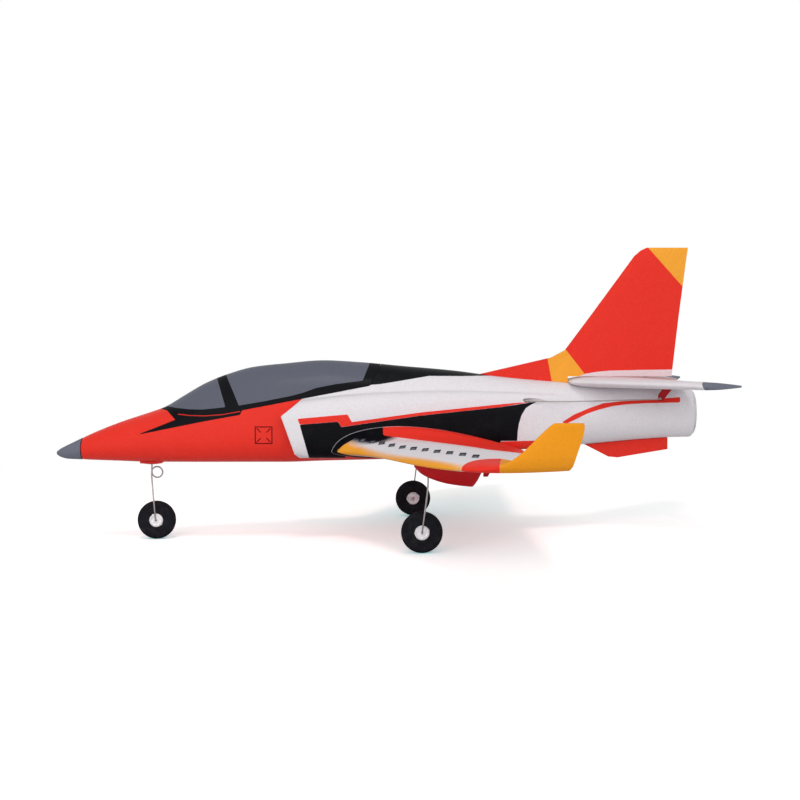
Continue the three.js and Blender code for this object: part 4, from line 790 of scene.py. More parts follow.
def pod_mesh(side, frame_of, wing):
    def local(low, high):
        corners = [(x, side * y, z) for x, y, z in box_corners(low, high)]
        return mesh_of("room", at_linkage(frame_of, corners), BOX_FACES)

    front = -AILERON_ROD_SPAN - SERVO_LENGTH + SERVO_SHAFT - SERVO_TAB - 2 * SEAM
    inner = -(SERVO_HEIGHT + SERVO_BOSS + ARM_THICKNESS + 2 * SEAM)
    room = local((front, inner, -POD_HALF * 3), (-POD_REAR_WALL, ARM_WIDTH * 1.2, OVERRUN))
    cave = combined(pod_shell(side, POD_WALL), "INTERSECT", room)
    slot = local((-POD_SLOT, -ARM_WIDTH / 2, -AILERON_HORN_DEPTH - ARM_WIDTH), (OVERRUN, ARM_WIDTH, 0))
    levels = MAIN_LEG_TOP + SEAM, POD_BOTTOM - OVERRUN
    leg_hole = round_bar("leg_hole", *((MAIN_LEG_X, side * MAIN_LEG_REACH, level) for level in levels),
                         WIRE_RADIUS + SEAM, count=HOLE_SIDES)
    return combined(pod_shell(side, 0), "DIFFERENCE", wing, cave, slot, leg_hole)


def turned(name, outline, centre, axis, count=96):
    """Ring that closes on itself, turned about an axis: outline in distance along the axis and radius."""
    axis = Vector(axis)
    side = axis.orthogonal().normalized()
    other = axis.cross(side)
    points = [Vector(centre) + axis * along + (side * u + other * v) * radius
              for u, v in around(count) for along, radius in outline]
    size = len(outline)
    faces = []
    for i in range(count):
        near, far = i * size, (i + 1) % count * size
        faces += [(near + j, near + (j + 1) % size, far + (j + 1) % size, far + j) for j in range(size)]
    return mesh_of(name, points, faces)


def rounded(outline, radius, steps=4):
    """Outline with each corner rounded."""
    result = []
    count = len(outline)
    for i in range(count):
        before, corner, after = (Vector(outline[(i + k) % count]) for k in (-1, 0, 1))
        size = min(radius, (before - corner).length * 0.45, (after - corner).length * 0.45)
        start, end = (corner + (point - corner).normalized() * size for point in (before, after))
        for k in range(steps + 1):
            t = k / steps
            result.append(tuple(start * (1 - t) ** 2 + corner * 2 * t * (1 - t) + end * t**2))
    return result


def mirrored(outline):
    """Outline from one face of a wheel to its middle, and on to the other face."""
    return [*outline, *((-along, radius) for along, radius in reversed(outline))]


def make_wheel(prefix, centre, cap_side, body, cap_body):
    half, seat, rim, boss = HUB_WIDTH / 2, RIM_RADIUS + SEAM, RIM_RADIUS, RIM_RADIUS * 0.4
    dish = half - DISH_DEPTH
    tread = [(TYRE_WIDTH * width, WHEEL_RADIUS * radius) for width, radius in TREAD_SHARES]
    tyre = turned("tyre", rounded(mirrored([(TYRE_WIDTH / 2, seat), *tread]), 1.6), centre, (0, 1, 0), 128)
    smooth_piece(f"{prefix}foam_tyre", tyre, "tyre_foam", body, "tyre_foam", f"{prefix}tyre")
    hub_outline = mirrored([
        (half - BOSS_DEPTH, WIRE_RADIUS + AXLE_PLAY), (half - BOSS_DEPTH, boss), (dish, boss + 0.5),
        (dish, rim * 0.72), (half, rim * 0.78), (half * 0.88, rim * 0.92), (half * 0.8, rim),
    ])
    hub = turned("hub", rounded(hub_outline, 0.3, 3), centre, (0, 1, 0))
    spoke = box_corners((-SPOKE_HALF, dish - 0.6, boss * 0.8), (SPOKE_HALF, half - 0.7, rim * 0.76))
    spokes = []
    for i in range(SPOKES):
        turn = Matrix.Rotation(2 * math.pi * i / SPOKES, 4, "Y")
        for face in (-1, 1):
            corners = [turn @ Vector((x, face * y, z)) + Vector(centre) for x, y, z in spoke]
            spokes.append(mesh_of("spoke", corners, BOX_FACES))
    hub = combined(hub, "UNION", *spokes)
    smooth_piece(f"{prefix}rim", hub, "hub_white", body, "white_plastic", f"{prefix}hub")
    face = cap_side * (half + SEAM)
    end = face + cap_side * CAP_WIDTH
    cap_outline = [(face, WIRE_RADIUS + SEAM), (face, CAP_RADIUS), (end, CAP_RADIUS * 0.86),
                   (end, WIRE_RADIUS + SEAM)]
    # The cap's pale pink finish is a painted reflection of the red body.
    cap = turned("cap", rounded(cap_outline, 0.4, 3), centre, (0, 1, 0), 48)
    smooth_piece(f"{prefix}retainer", cap, "cap_pink_reflection", cap_body, "red_plastic", f"{prefix}wheel_cap")


# Paint. Outlines seen from the photographed side are in that picture's pixels; the two halves are alike.
PICTURE_LEVEL = (368.6, 329.5)
PICTURE_EYE = (311.1, 83)
SIDE_PAINT = {
    "nose_red": [
        (20, 340), (302, 340), (302, 398.5), (292.5, 406.5), (280.5, 416), (294, 454), (299, 457.8),
        (345, 457.8), (345, 452.5), (500, 452.5), (500, 441.6), (535, 440.7), (552, 443.5), (566, 449),
        (574, 470), (574, 520), (20, 520),
    ],
    "nose_spear": [
        (136, 434.7), (158, 426.3), (175.5, 419.2), (167.4, 410), (158, 403), (158, 370), (372, 360),
        (372, 384.4), (301.7, 398.5), (242, 410), (239.7, 414.6), (204, 421),
    ],
    "spine_black": [
        (364, 340), (364, 386), (369.2, 384.8), (380, 383.9), (400, 380.7), (428.5, 375.8), (460, 376),
        (491.5, 375.4), (477, 366), (470, 340),
    ],
    "side_stripe": [
        (297, 418.5), (347, 414.1), (351.3, 421.8), (420, 412.3), (500, 404.2), (538, 400.8), (500, 407),
        (420, 415.4), (341, 426.8), (337.5, 421.4), (299.2, 424.3),
    ],
    "side_black": [
        (299.2, 424.3), (337.5, 421.4), (341, 426.8), (420, 415.4), (500, 407), (538, 401.2), (531, 404.4),
        (525.4, 408.1), (521, 415.5), (518.6, 423.9), (517.4, 432), (516.9, 441), (500, 441), (500, 452.5),
        (345, 452.5), (345, 457.8), (308.5, 457.8),
    ],
    "tail_stripe": [
        (561.2, 422.6), (574, 414.6), (588, 408.6), (603, 403.3), (620, 401.4), (636.9, 400.4),
        (680.5, 397.2), (680.5, 402.6), (646.6, 403.3), (628, 404.3), (612.7, 406.2), (598, 410),
        (586, 414.2), (576, 419.4), (566.5, 423.6),
    ],
    "canopy_line": [
        (178, 413.1), (190, 414.6), (205, 415), (222, 413.8), (240, 410.6), (240.2, 413.2), (222, 416.6),
        (205, 418), (190, 418), (178, 416),
    ],
    "below_line": [
        (177.4, 414), (190, 415.5), (205, 415.9), (222, 414.7), (240.6, 411.4), (240.8, 413.8),
        (222, 417.4), (205, 418.8), (190, 418.8), (177.4, 416.8),
    ],
    "spine_red": [(477, 340), (477, 373), (491.5, 375.4), (520, 377.8), (551, 381), (547, 358), (547, 340)],
    "fin_patch": [
        (547.1, 340), (547.1, 359.3), (551.3, 381.1), (569.1, 383.2), (572.7, 378.4), (584.3, 373.9),
        (564.6, 348.9), (555, 330),
    ],
    "fin_tip": [(646.6, 247.7), (640, 235), (700, 235), (700, 300), (682.2, 287)],
    "fin_foot": [
        (569, 383.2), (572.7, 378.4), (584.3, 373.9), (596, 371.9), (609.3, 370.7), (640, 370),
        (690, 369.4), (690, 400), (569, 400),
    ],
    "front_glass": [
        (160, 398), (168.2, 405.6), (176, 407.4), (190, 408.9), (203, 409.1), (225.5, 406.8),
        (217.8, 379.3), (210, 340), (150, 340),
    ],
    "rear_glass": [
        (215, 340), (227.2, 376.7), (238.8, 405.2), (265, 400.8), (290.9, 395.6), (303, 392.4),
        (315.5, 387.8), (335, 384), (362.3, 380.4), (369.2, 363.2), (374, 340),
    ],
    "tail_grey": [(709, 370), (705, 379), (702.4, 384), (703.6, 388), (707, 392), (770, 400), (770, 370)],
}
# Outlines seen from above: airframe X and the distance from the centre line
TOP_PAINT = {
    "root_black": [
        (250, 20), (262, 54), (281, 61), (290, 65), (295, 67), (305, 75), (314, 80), (324, 80), (334, 72),
        (345, 60), (345, 20),
    ],
    "root_nose": [
        (250, 20), (262, 56), (276, 58.6), (280.9, 61.5), (283.8, 63.7), (289.4, 64.6), (294.9, 64.5),
        (300, 60), (324, 56), (324, 20),
    ],
    "root_red": [
        (324.2, 20), (324.4, 66.2), (346.1, 71.9), (369.1, 78.1), (391.6, 95.2), (410, 110),
        (418.5, 124.4), (480, 124.4), (480, 20),
    ],
    "lead_orange": [
        (230, 40), (277, 40), (288, 60), (297, 71), (305, 86), (315, 113), (339, 182), (363, 246),
        (385, 300), (392, 340), (230, 340),
    ],
    "tail_flush": [(515, -1), (650, -1), (650, 42), (612, 54), (575, 30)],
    "tip_red": [
        (376, 340), (382, 306), (384.6, 299.5), (388.2, 292.4), (396.5, 278), (407.3, 262.5), (421, 243),
        (416.5, 282), (411.9, 322), (411, 340),
    ],
    "tip_orange": [
        (411, 340), (411.9, 322), (416.5, 282), (421, 243), (428.8, 271), (440, 297.5), (485, 297.5),
        (485, 340),
    ],
}
WING_PAINT = [name for name in TOP_PAINT if name != "tail_flush"]


def seen_from_side(points):
    """Where airframe points appear in the picture, the far half's as if they stood on the near side."""
    scale = VIEW_DISTANCE / (VIEW_DISTANCE - np.abs(points[:, 1]))
    return np.column_stack([
        PICTURE_LEVEL[0] + (points[:, 0] - PICTURE_EYE[0]) * scale,
        PICTURE_LEVEL[1] + (PICTURE_EYE[1] - points[:, 2]) * scale,
    ])


def depth_inside(places, outline):
    """Distance to an outline, positive inside it."""
    corners = np.array(outline, float)
    nearest = np.full(len(places), np.inf)
    inside = np.zeros(len(places), bool)
    for start, end in zip(corners, np.roll(corners, -1, axis=0)):
        along = end - start
        share = np.clip((places - start) @ along / (along @ along), 0, 1)
        nearest = np.minimum(nearest, np.linalg.norm(places - start - share[:, None] * along, axis=1))
        crosses = (start[1] > places[:, 1]) != (end[1] > places[:, 1])
        crossing = start[0] + (places[:, 1] - start[1]) * along[0] / (along[1] or 1)
        inside ^= crosses & (places[:, 0] < crossing)
    return np.where(inside, nearest, -nearest)


def airframe_points(mesh):
    flat = np.empty(len(mesh.vertices) * 3)
    mesh.vertices.foreach_get("co", flat)
    matrix = np.array(TO_AIRFRAME)
    return flat.reshape(-1, 3) @ matrix[:3, :3].T + matrix[:3, 3]


def store(mesh, name, values):
    mesh.attributes.new(name, "FLOAT", "POINT").data.foreach_set("value", np.asarray(values, np.float32))


def mark_paint(mesh, *names):
    """Keeps each outline's depth at every point of the mesh, for the paint's edges."""
    points = airframe_points(mesh)
    from_side, from_above = seen_from_side(points), np.abs(points[:, :2])
    for name in names:
        places, outlines = (from_side, SIDE_PAINT) if name in SIDE_PAINT else (from_above, TOP_PAINT)
        store(mesh, name, depth_inside(places, outlines[name]))


def tree_of(mesh):
    return BVHTree.FromPolygons([v.co for v in mesh.vertices], [p.vertices for p in mesh.polygons])


def gaps_to(mesh, tree):
    return np.array([tree.find_nearest(vertex.co)[3] * 1000 for vertex in mesh.vertices])


def mark_inside(mesh, skin, depth=0.6):
    """Marks the points that lie below the outer skin, which stay bare foam."""
    points = np.abs(airframe_points(mesh))
    beside_rod = (points[:, 0] > FAN_REAR + SEAM) & (points[:, 1] > FAN_RADIUS + FAN_WALL + SEAM)
    store(mesh, "bare_inside", gaps_to(mesh, tree_of(skin)) - np.where(beside_rod, PROFILE, depth))


def mark_seam(mesh, tree, width=0.9):
    """Marks the points beside the skin that the tree holds, for the light line along a seam."""
    store(mesh, "root_seam", width - gaps_to(mesh, tree))


def mark_tail(mesh):
    """Keeps the depth in the grey tips, and in the red spray on the upper side alone."""
    mark_paint(mesh, "tail_grey")
    points = airframe_points(mesh)
    depth = depth_inside(np.abs(points[:, :2]), TOP_PAINT["tail_flush"])
    store(mesh, "tail_flush", np.where(points[:, 2] > TAIL_HEIGHT, depth, -PROFILE))


def diced(mesh, size):
    """The mesh with its faces cut along planes of even spacing, for paint edges on flat faces."""
    work = bmesh.new()
    work.from_mesh(mesh)
    for axis in (0, 2):
        normal = TO_FRAME.to_3x3().col[axis].normalized()
        places = [vertex.co.dot(normal) for vertex in work.verts]
        for place in np.arange(min(places), max(places), size * 0.001)[1:]:
            everything = work.verts[:] + work.edges[:] + work.faces[:]
            bmesh.ops.bisect_plane(work, geom=everything, plane_co=normal * place, plane_no=normal, dist=1e-7)
    work.to_mesh(mesh)
    work.free()
    return mesh


# Material tools
def shade_of(*levels):
    """Screen colour, 0 to 255, as the shader's colour."""
    return (*(c / 255 / 12.92 if c < 11 else ((c / 255 + 0.055) / 1.055) ** 2.4 for c in levels), 1)


def put(tree, kind, values=None, **settings):
    """New node with its settings, and a value or an output for each named or numbered input."""
    node = tree.nodes.new(f"ShaderNode{kind}")
    for name, setting in settings.items():
        setattr(node, name, setting)
    for key, value in (values or {}).items():
        if isinstance(value, bpy.types.NodeSocket):
            tree.links.new(value, node.inputs[key])
        else:
            node.inputs[key].default_value = value
    return node


def figure(tree, operation, *values):
    return put(tree, "Math", dict(enumerate(values)), operation=operation).outputs[0]


def mixed_colour(tree, share, below, above):
    return put(tree, "Mix", {0: share, 6: below, 7: above}, data_type="RGBA").outputs[2]


def mixed_value(tree, share, below, above):
    return put(tree, "Mix", {0: share, 2: below, 3: above}).outputs[0]


def ramp(tree, value, start, end, low=0, high=1):
    values = {"Value": value, "From Min": start, "From Max": end, "To Min": low, "To Max": high}
    return put(tree, "MapRange", values, interpolation_type="SMOOTHSTEP").outputs[0]


def noise(tree, place, scale, detail=3, roughness=0.5):
    values = {"Vector": place, "Scale": scale, "Detail": detail, "Roughness": roughness}
    return put(tree, "TexNoise", values).outputs[0]


def stretched(tree, place, *scale, rotation=(0, 0, 0)):
    return put(tree, "Mapping", {"Vector": place, "Rotation": rotation, "Scale": scale}).outputs[0]


def scaled(tree, colour, by):
    return put(tree, "VectorMath", {0: colour, 3: by}, operation="SCALE").outputs[0]


def tinted(tree, mask, strength, below, above):
    """A colour over another where the mask says, at part of its strength."""
    return mixed_colour(tree, figure(tree, "MULTIPLY", mask, strength), below, above)


def new_group(name, inputs, outputs):
    tree = bpy.data.node_groups.new(name, "ShaderNodeTree")
    for label, kind, value in inputs:
        socket = tree.interface.new_socket(label, in_out="INPUT", socket_type=f"NodeSocket{kind}")
        if value is not None:
            socket.default_value = value
    for label, kind in outputs:
        tree.interface.new_socket(label, in_out="OUTPUT", socket_type=f"NodeSocket{kind}")
    return tree, tree.nodes.new("NodeGroupInput").outputs, tree.nodes.new("NodeGroupOutput").inputs


def airframe_place_group():
    """Place in airframe millimetres."""
    tree, _, given = new_group("airframe_place", (), [("Place", "Vector")])
    own = scaled(tree, put(tree, "TexCoord").outputs["Object"], 1000)
    turned_back = put(tree, "Mapping", {
        "Vector": own, "Rotation": TO_AIRFRAME.to_euler(), "Location": TO_AIRFRAME.to_translation(),
    }).outputs[0]
    tree.links.new(turned_back, given["Place"])
    return tree


def paint_edge_group():
    """Cover of a coat from the depth inside its outline; a narrow edge is masked, a wide one sprayed."""
    tree, have, given = new_group(
        "paint_edge",
        [("Place", "Vector", None), ("Depth", "Float", 0), ("Width", "Float", 0.4), ("Wander", "Float", 0.2)],
        [("Cover", "Float")],
    )
    wavy = figure(tree, "SUBTRACT", noise(tree, have["Place"], 0.35, 2), 0.5)
    depth = figure(tree, "MULTIPLY_ADD", wavy, have["Wander"], have["Depth"])
    half = figure(tree, "MULTIPLY", have["Width"], 0.5)
    start = figure(tree, "MULTIPLY", half, -1)
    tree.links.new(ramp(tree, depth, start, half), given["Cover"])
    return tree


def foam_beads_group():
    """Moulded foam: fused beads with thin seams between them, each a shade of its own."""
    tree, have, given = new_group(
        "foam_beads",
        [("Place", "Vector", None), ("Bead", "Float", 2.6), ("Fineness", "Float", 0.5)],
        [("Height", "Float"), ("Shade", "Float"), ("Seam", "Float")],
    )
    bent = put(tree, "TexNoise", {"Vector": have["Place"], "Scale": 0.4, "Detail": 1}).outputs["Color"]
    loose = put(tree, "VectorMath", {0: bent, 1: (1.6, 1.6, 1.6), 2: have["Place"]}, operation="MULTIPLY_ADD")
    cells = {"Vector": loose.outputs[0], "Scale": figure(tree, "DIVIDE", 1, have["Bead"])}
    edge = put(tree, "TexVoronoi", cells, feature="DISTANCE_TO_EDGE").outputs["Distance"]
    cell = put(tree, "TexVoronoi", cells).outputs["Color"]
    seam = ramp(tree, edge, 0.09, 0)
    bulge = ramp(tree, edge, 0, 0.42)
    grain = noise(tree, have["Place"], 2.2, 3)
    tree.links.new(mixed_value(tree, have["Fineness"], bulge, grain), given["Height"])
    own_shade = put(tree, "SeparateColor", {0: cell}).outputs[0]
    tree.links.new(own_shade, given["Shade"])
    tree.links.new(seam, given["Seam"])
    return tree


def handling_group():
    """Marks of use: broad patches where hands polished the surface, dust, and short scuffs."""
    tree, have, given = new_group(
        "handling",
        [("Place", "Vector", None), ("Amount", "Float", 0.5)],
        [("Polish", "Float"), ("Dust", "Float"), ("Scuff", "Float")],
    )
    polish = ramp(tree, noise(tree, have["Place"], 0.018, 4, 0.6), 0.35, 0.7)
    dust = ramp(tree, noise(tree, have["Place"], 0.06, 6, 0.65), 0.45, 0.8)
    scratch = stretched(tree, have["Place"], 0.05, 0.9, 0.9, rotation=(0.3, 0.2, 0.6))
    scuff = ramp(tree, noise(tree, scratch, 0.5, 3, 0.6), 0.69, 0.75)
    for label, value in (("Polish", polish), ("Dust", dust), ("Scuff", scuff)):
        tree.links.new(figure(tree, "MULTIPLY", value, have["Amount"]), given[label])
    return tree


GROUPS = {build.__name__.removesuffix("_group"): build() for build in (
    airframe_place_group, paint_edge_group, foam_beads_group, handling_group,
)}


def use(tree, name, values=None):
    return put(tree, "Group", values, node_tree=GROUPS[name]).outputs


FINISHES = {}


def new_material(name, shine=0.5):
    """A finish of its own: its tree, its shader's inputs and the place on the airframe."""
    material = bpy.data.materials.new(name)
    material.use_nodes = True
    FINISHES[name] = material
    tree = material.node_tree
    shader = tree.nodes["Principled BSDF"].inputs
    shader["Specular IOR Level"].default_value = shine
    return tree, shader, use(tree, "airframe_place")["Place"]


def finish_surface(tree, shader, colour, roughness, height, depth):
    bump = put(tree, "Bump", {"Height": height, "Distance": depth * 0.001, "Strength": 1})
    tree.links.new(colour, shader["Base Color"])
    tree.links.new(roughness, shader["Roughness"])
    tree.links.new(bump.outputs[0], shader["Normal"])


# Foam finishes
RED, FOAM_WHITE, BLACK = shade_of(232, 54, 43), shade_of(228, 224, 228), shade_of(8, 9, 14)
GLASS_GREY, TIP_GREY = shade_of(94, 97, 109), shade_of(110, 113, 126)
ORANGE, DEEP_ORANGE, LINE_RED = shade_of(243, 165, 55), shade_of(233, 150, 35), shade_of(112, 8, 14)
BEAD = 2.6
MARK_X, MARK_HEIGHT, MARK_HALF, MARK_LINE = 208.6, -19.6, 8.1, 0.58
TICK_LINE, TICK_MIDDLE, TICK_HALF = 0.78, 4.9, 2


def painted_foam(name, coats, depth=0.12, gloss=0.4, ground=FOAM_WHITE, extra=None, wear=0.6, coat=0, sunk=0,
                 shine=0.06):
    """Moulded foam under coats of paint, each an outline's name, edge width, wander, strength and colour."""
    tree, shader, place = new_material(name, shine)
    shader["Coat Weight"].default_value = coat
    shader["Coat Roughness"].default_value = 0.16
    beads = use(tree, "foam_beads", {"Place": place, "Bead": BEAD, "Fineness": 0.35})
    marks = use(tree, "handling", {"Place": place, "Amount": wear})
    colour, cover = ground, 0
    for outline, width, wander, strength, paint in coats:
        here = put(tree, "Attribute", attribute_name=outline).outputs["Fac"]
        brush = {"Place": place, "Depth": here, "Width": width, "Wander": wander}
        edge = use(tree, "paint_edge", brush)["Cover"]
        if strength < 1:
            edge = figure(tree, "MULTIPLY", edge, strength)
        colour = mixed_colour(tree, edge, colour, paint)
        cover = figure(tree, "MAXIMUM", edge, cover)
    if extra:
        colour = extra(tree, place, colour)
    shade = ramp(tree, beads["Shade"], 0, 1, 0.975, 1)
    seams = figure(tree, "MULTIPLY", beads["Seam"], mixed_value(tree, cover, 0.08, 0.04))
    toned = scaled(tree, colour if coats else ground[:3], figure(tree, "SUBTRACT", shade, seams))
    toned = tinted(tree, marks["Dust"], 0.015, toned, shade_of(196, 190, 182))
    toned = tinted(tree, marks["Scuff"], 0.04, toned, shade_of(225, 218, 214))
    base = mixed_value(tree, cover, 0.62, gloss)
    rough = figure(tree, "ADD", base, figure(tree, "MULTIPLY", marks["Dust"], 0.12))
    rough = figure(tree, "SUBTRACT", rough, figure(tree, "MULTIPLY", marks["Polish"], 0.08))
    height = beads["Height"]
    if sunk:
        height = figure(tree, "SUBTRACT", height, figure(tree, "MULTIPLY", cover, sunk))
    finish_surface(tree, shader, toned, rough, height, depth)


def corner_mark(tree, place, colour):
    """Thin square with a tick in each corner, on the side of the nose."""
    parts = put(tree, "SeparateXYZ", {0: place}).outputs
    across = figure(tree, "ABSOLUTE", figure(tree, "SUBTRACT", parts[0], MARK_X))
    rise = figure(tree, "ABSOLUTE", figure(tree, "SUBTRACT", parts[2], MARK_HEIGHT))
    outer = figure(tree, "MAXIMUM", across, rise)
    square = figure(tree, "COMPARE", outer, MARK_HALF, MARK_LINE)
    diagonal = figure(tree, "COMPARE", across, rise, TICK_LINE)
    tick = figure(tree, "MULTIPLY", diagonal, figure(tree, "COMPARE", outer, TICK_MIDDLE, TICK_HALF))
    return mixed_colour(tree, figure(tree, "MAXIMUM", square, tick), colour, LINE_RED)


# Other finishes
def moulded_plastic(name, colour, roughness, grain=0.03, wear=0.4, shine=0.2):
    """Injection-moulded plastic with a fine grain, polished where it is handled."""
    tree, shader, place = new_material(name, shine)
    marks = use(tree, "handling", {"Place": place, "Amount": wear})
    fine = noise(tree, place, 3.5, 4, 0.7)
    tone = ramp(tree, noise(tree, place, 0.15, 2), 0.3, 0.7, 0.93, 1)
    toned = scaled(tree, shade_of(*colour)[:3], tone)
    toned = tinted(tree, marks["Dust"], 0.1, toned, shade_of(170, 165, 158))
    toned = tinted(tree, marks["Scuff"], 0.25, toned, shade_of(205, 200, 196))
    rough = figure(tree, "SUBTRACT", roughness, figure(tree, "MULTIPLY", marks["Polish"], 0.1))
    rough = figure(tree, "MULTIPLY_ADD", fine, 0.12, rough)
    finish_surface(tree, shader, toned, rough, fine, grain)


def drawn_metal(name, colour, roughness, lie=(0.12, 2.4, 2.4)):
    """Bright metal with the fine lines of drawing or turning, and dull spots."""
    tree, shader, place = new_material(name)
    lines = noise(tree, stretched(tree, place, *lie), 1.6, 4, 0.7)
    spots = ramp(tree, noise(tree, place, 0.5, 4, 0.6), 0.52, 0.75)
    tone = tinted(tree, spots, 0.35, shade_of(*colour), shade_of(120, 116, 112))
    rough = figure(tree, "MULTIPLY_ADD", lines, 0.18, roughness - 0.08)
    rough = figure(tree, "MULTIPLY_ADD", spots, 0.15, rough)
    shader["Metallic"].default_value = 1
    finish_surface(tree, shader, tone, rough, lines, 0.02)


def tyre_rubber(name):
    """Black foam rubber: open fine pores, greyed where it rolls."""
    tree, shader, place = new_material(name, 0.08)
    pores = put(tree, "TexVoronoi", {"Vector": place, "Scale": 1.7}).outputs["Distance"]
    fine = noise(tree, place, 2.6, 4, 0.75)
    patches = ramp(tree, noise(tree, place, 0.16, 4, 0.6), 0.4, 0.75)
    colour = mixed_colour(tree, patches, shade_of(24, 24, 29), shade_of(40, 40, 44))
    colour = mixed_colour(tree, ramp(tree, fine, 0.62, 0.75, 0, 0.3), colour, shade_of(82, 79, 77))
    rough = figure(tree, "MULTIPLY_ADD", patches, 0.1, 0.82)
    finish_surface(tree, shader, colour, rough, mixed_value(tree, 0.5, pores, fine), 0.18)


def woven_strap(name):
    """Nylon strap: ribs across it, crossed by finer threads, with painted shade in the hollows of the weave.
    """
    tree, shader, place = new_material(name)
    ribs = {"Vector": place, "Scale": 0.55, "Distortion": 0.6, "Detail": 2}
    threads = {"Vector": place, "Scale": 0.8, "Distortion": 0.4}
    height = figure(tree, "MULTIPLY", put(tree, "TexWave", ribs, bands_direction="X").outputs[1],
                    put(tree, "TexWave", threads, bands_direction="Y").outputs[1])
    # The colour follows the weave's height: painted shade in the hollows between threads, a painted highlight
    # on their crests.
    colour = mixed_colour(tree, height, shade_of(18, 18, 20), shade_of(58, 58, 62))
    finish_surface(tree, shader, colour, ramp(tree, height, 0, 1, 0.95, 0.72), height, 0.2)


def ply_grain(name):
    """Thin birch plywood: long grain with darker pores."""
    tree, shader, place = new_material(name)
    long_grain = stretched(tree, place, 0.03, 0.6, 0.6)
    bands = noise(tree, long_grain, 1.2, 5, 0.65)
    pores = ramp(tree, noise(tree, long_grain, 6, 3, 0.7), 0.58, 0.72)
    colour = mixed_colour(tree, ramp(tree, bands, 0.3, 0.7), shade_of(190, 152, 104), shade_of(219, 188, 143))
    colour = tinted(tree, pores, 0.6, colour, shade_of(120, 84, 50))
    rough = figure(tree, "MULTIPLY_ADD", pores, 0.15, 0.62)
    finish_surface(tree, shader, colour, rough, figure(tree, "SUBTRACT", bands, pores), 0.08)


def drawn_carbon(name):
    """Carbon rod: long parallel fibres under a thin resin skin."""
    tree, shader, place = new_material(name)
    fibres = noise(tree, stretched(tree, place, 3, 0.05, 3), 2, 4, 0.7)
    colour = mixed_colour(tree, fibres, shade_of(16, 16, 18), shade_of(48, 48, 52))
    finish_surface(tree, shader, colour, ramp(tree, fibres, 0.3, 0.7, 0.3, 0.5), fibres, 0.04)


def shrink_wrap(name, colour, roughness=0.3):
    """Heat-shrunk film: taut wrinkles across it, their crests painted paler as a painted sheen, and rubbed
    corners.
    """
    tree, shader, place = new_material(name)
    wrinkles = noise(tree, stretched(tree, place, 0.5, 0.06, 0.12), 1.1, 3, 0.5)
    marks = use(tree, "handling", {"Place": place, "Amount": 0.8})
    # The wrinkles' crests are mixed towards near white: a painted sheen.
    shine = ramp(tree, wrinkles, 0.35, 0.7, 0, 0.3)
    toned = mixed_colour(tree, shine, shade_of(*colour), shade_of(236, 238, 242))
    toned = tinted(tree, marks["Scuff"], 0.4, toned, shade_of(214, 214, 216))
    rough = figure(tree, "MULTIPLY_ADD", noise(tree, place, 1.4, 3), 0.12, roughness)
    finish_surface(tree, shader, toned, rough, wrinkles, 0.4)


def rolled_film(name):
    """Milky plastic film rolled into the exhaust tube, with faint lengthwise creases."""
    tree, shader, place = new_material(name)
    creases = noise(tree, stretched(tree, place, 0.01, 0.5, 0.5), 1.3, 4, 0.6)
    soot = ramp(tree, noise(tree, place, 0.08, 5, 0.6), 0.45, 0.8)
    colour = mixed_colour(tree, soot, shade_of(206, 206, 210), shade_of(150, 148, 150))
    rough = figure(tree, "MULTIPLY_ADD", creases, 0.15, 0.28)
    finish_surface(tree, shader, colour, rough, creases, 0.15)


INSIDE = ("bare_inside", 0.5, 0.2, 1, FOAM_WHITE)
FUSELAGE_COATS = [
    ("nose_red", 0.5, 0.3, 1, RED), ("nose_spear", 0.4, 0.2, 1, BLACK), ("canopy_line", 0.4, 0.1, 0.75, RED),
    ("below_line", 0.4, 0.1, 1, BLACK), ("side_stripe", 0.4, 0.2, 1, RED), ("side_black", 0.4, 0.2, 1, BLACK),
    ("tail_stripe", 0.4, 0.2, 1, RED), ("spine_black", 0.4, 0.3, 1, BLACK), ("spine_red", 2.4, 1, 1, RED),
    ("fin_patch", 0.4, 0.2, 1, ORANGE), INSIDE,
]
HATCH_COATS = [("front_glass", 0.4, 0.1, 1, GLASS_GREY), ("rear_glass", 0.4, 0.1, 1, GLASS_GREY), INSIDE]
WING_COATS = [
    ("root_red", 60, 8, 0.5, RED), ("root_black", 11, 3, 1, BLACK), ("root_red", 0.8, 0.4, 1, RED),
    ("lead_orange", 9, 2, 1, ORANGE), ("root_nose", 0.6, 0.3, 1, BLACK), ("tip_red", 0.5, 0.2, 1, RED),
    ("tip_orange", 0.4, 0.2, 1, DEEP_ORANGE), ("root_seam", 0.3, 0.1, 0.42, shade_of(196, 192, 196)),
]
FIN_COATS = [
    ("fin_foot", 0.8, 0.3, 1, FOAM_WHITE), ("fin_foot", 9, 2, 0.12, RED), ("fin_patch", 0.4, 0.2, 1, ORANGE),
    ("fin_tip", 0.4, 0.2, 1, ORANGE),
]
TAIL_COATS = [("tail_flush", 34, 5, 0.42, RED), ("tail_grey", 0.5, 0.2, 1, TIP_GREY)]

painted_foam("fuselage_paint", FUSELAGE_COATS, extra=corner_mark)
painted_foam("canopy_paint", HATCH_COATS, depth=0.04, gloss=0.42, ground=BLACK, wear=0.2, coat=0.04, sunk=9)
painted_foam("wing_paint", WING_COATS, gloss=0.5, shine=0.02)
painted_foam("fin_paint", FIN_COATS, depth=0.16, ground=RED)
painted_foam("tail_paint", TAIL_COATS, gloss=0.5, shine=0.02)
painted_foam("nose_grey", [], depth=0.06, ground=TIP_GREY)
painted_foam("ventral_red", [], ground=RED)
moulded_plastic("pod_red", (192, 8, 18), 0.34, wear=0.15)
moulded_plastic("hub_white", (250, 249, 252), 0.34, wear=0.1)
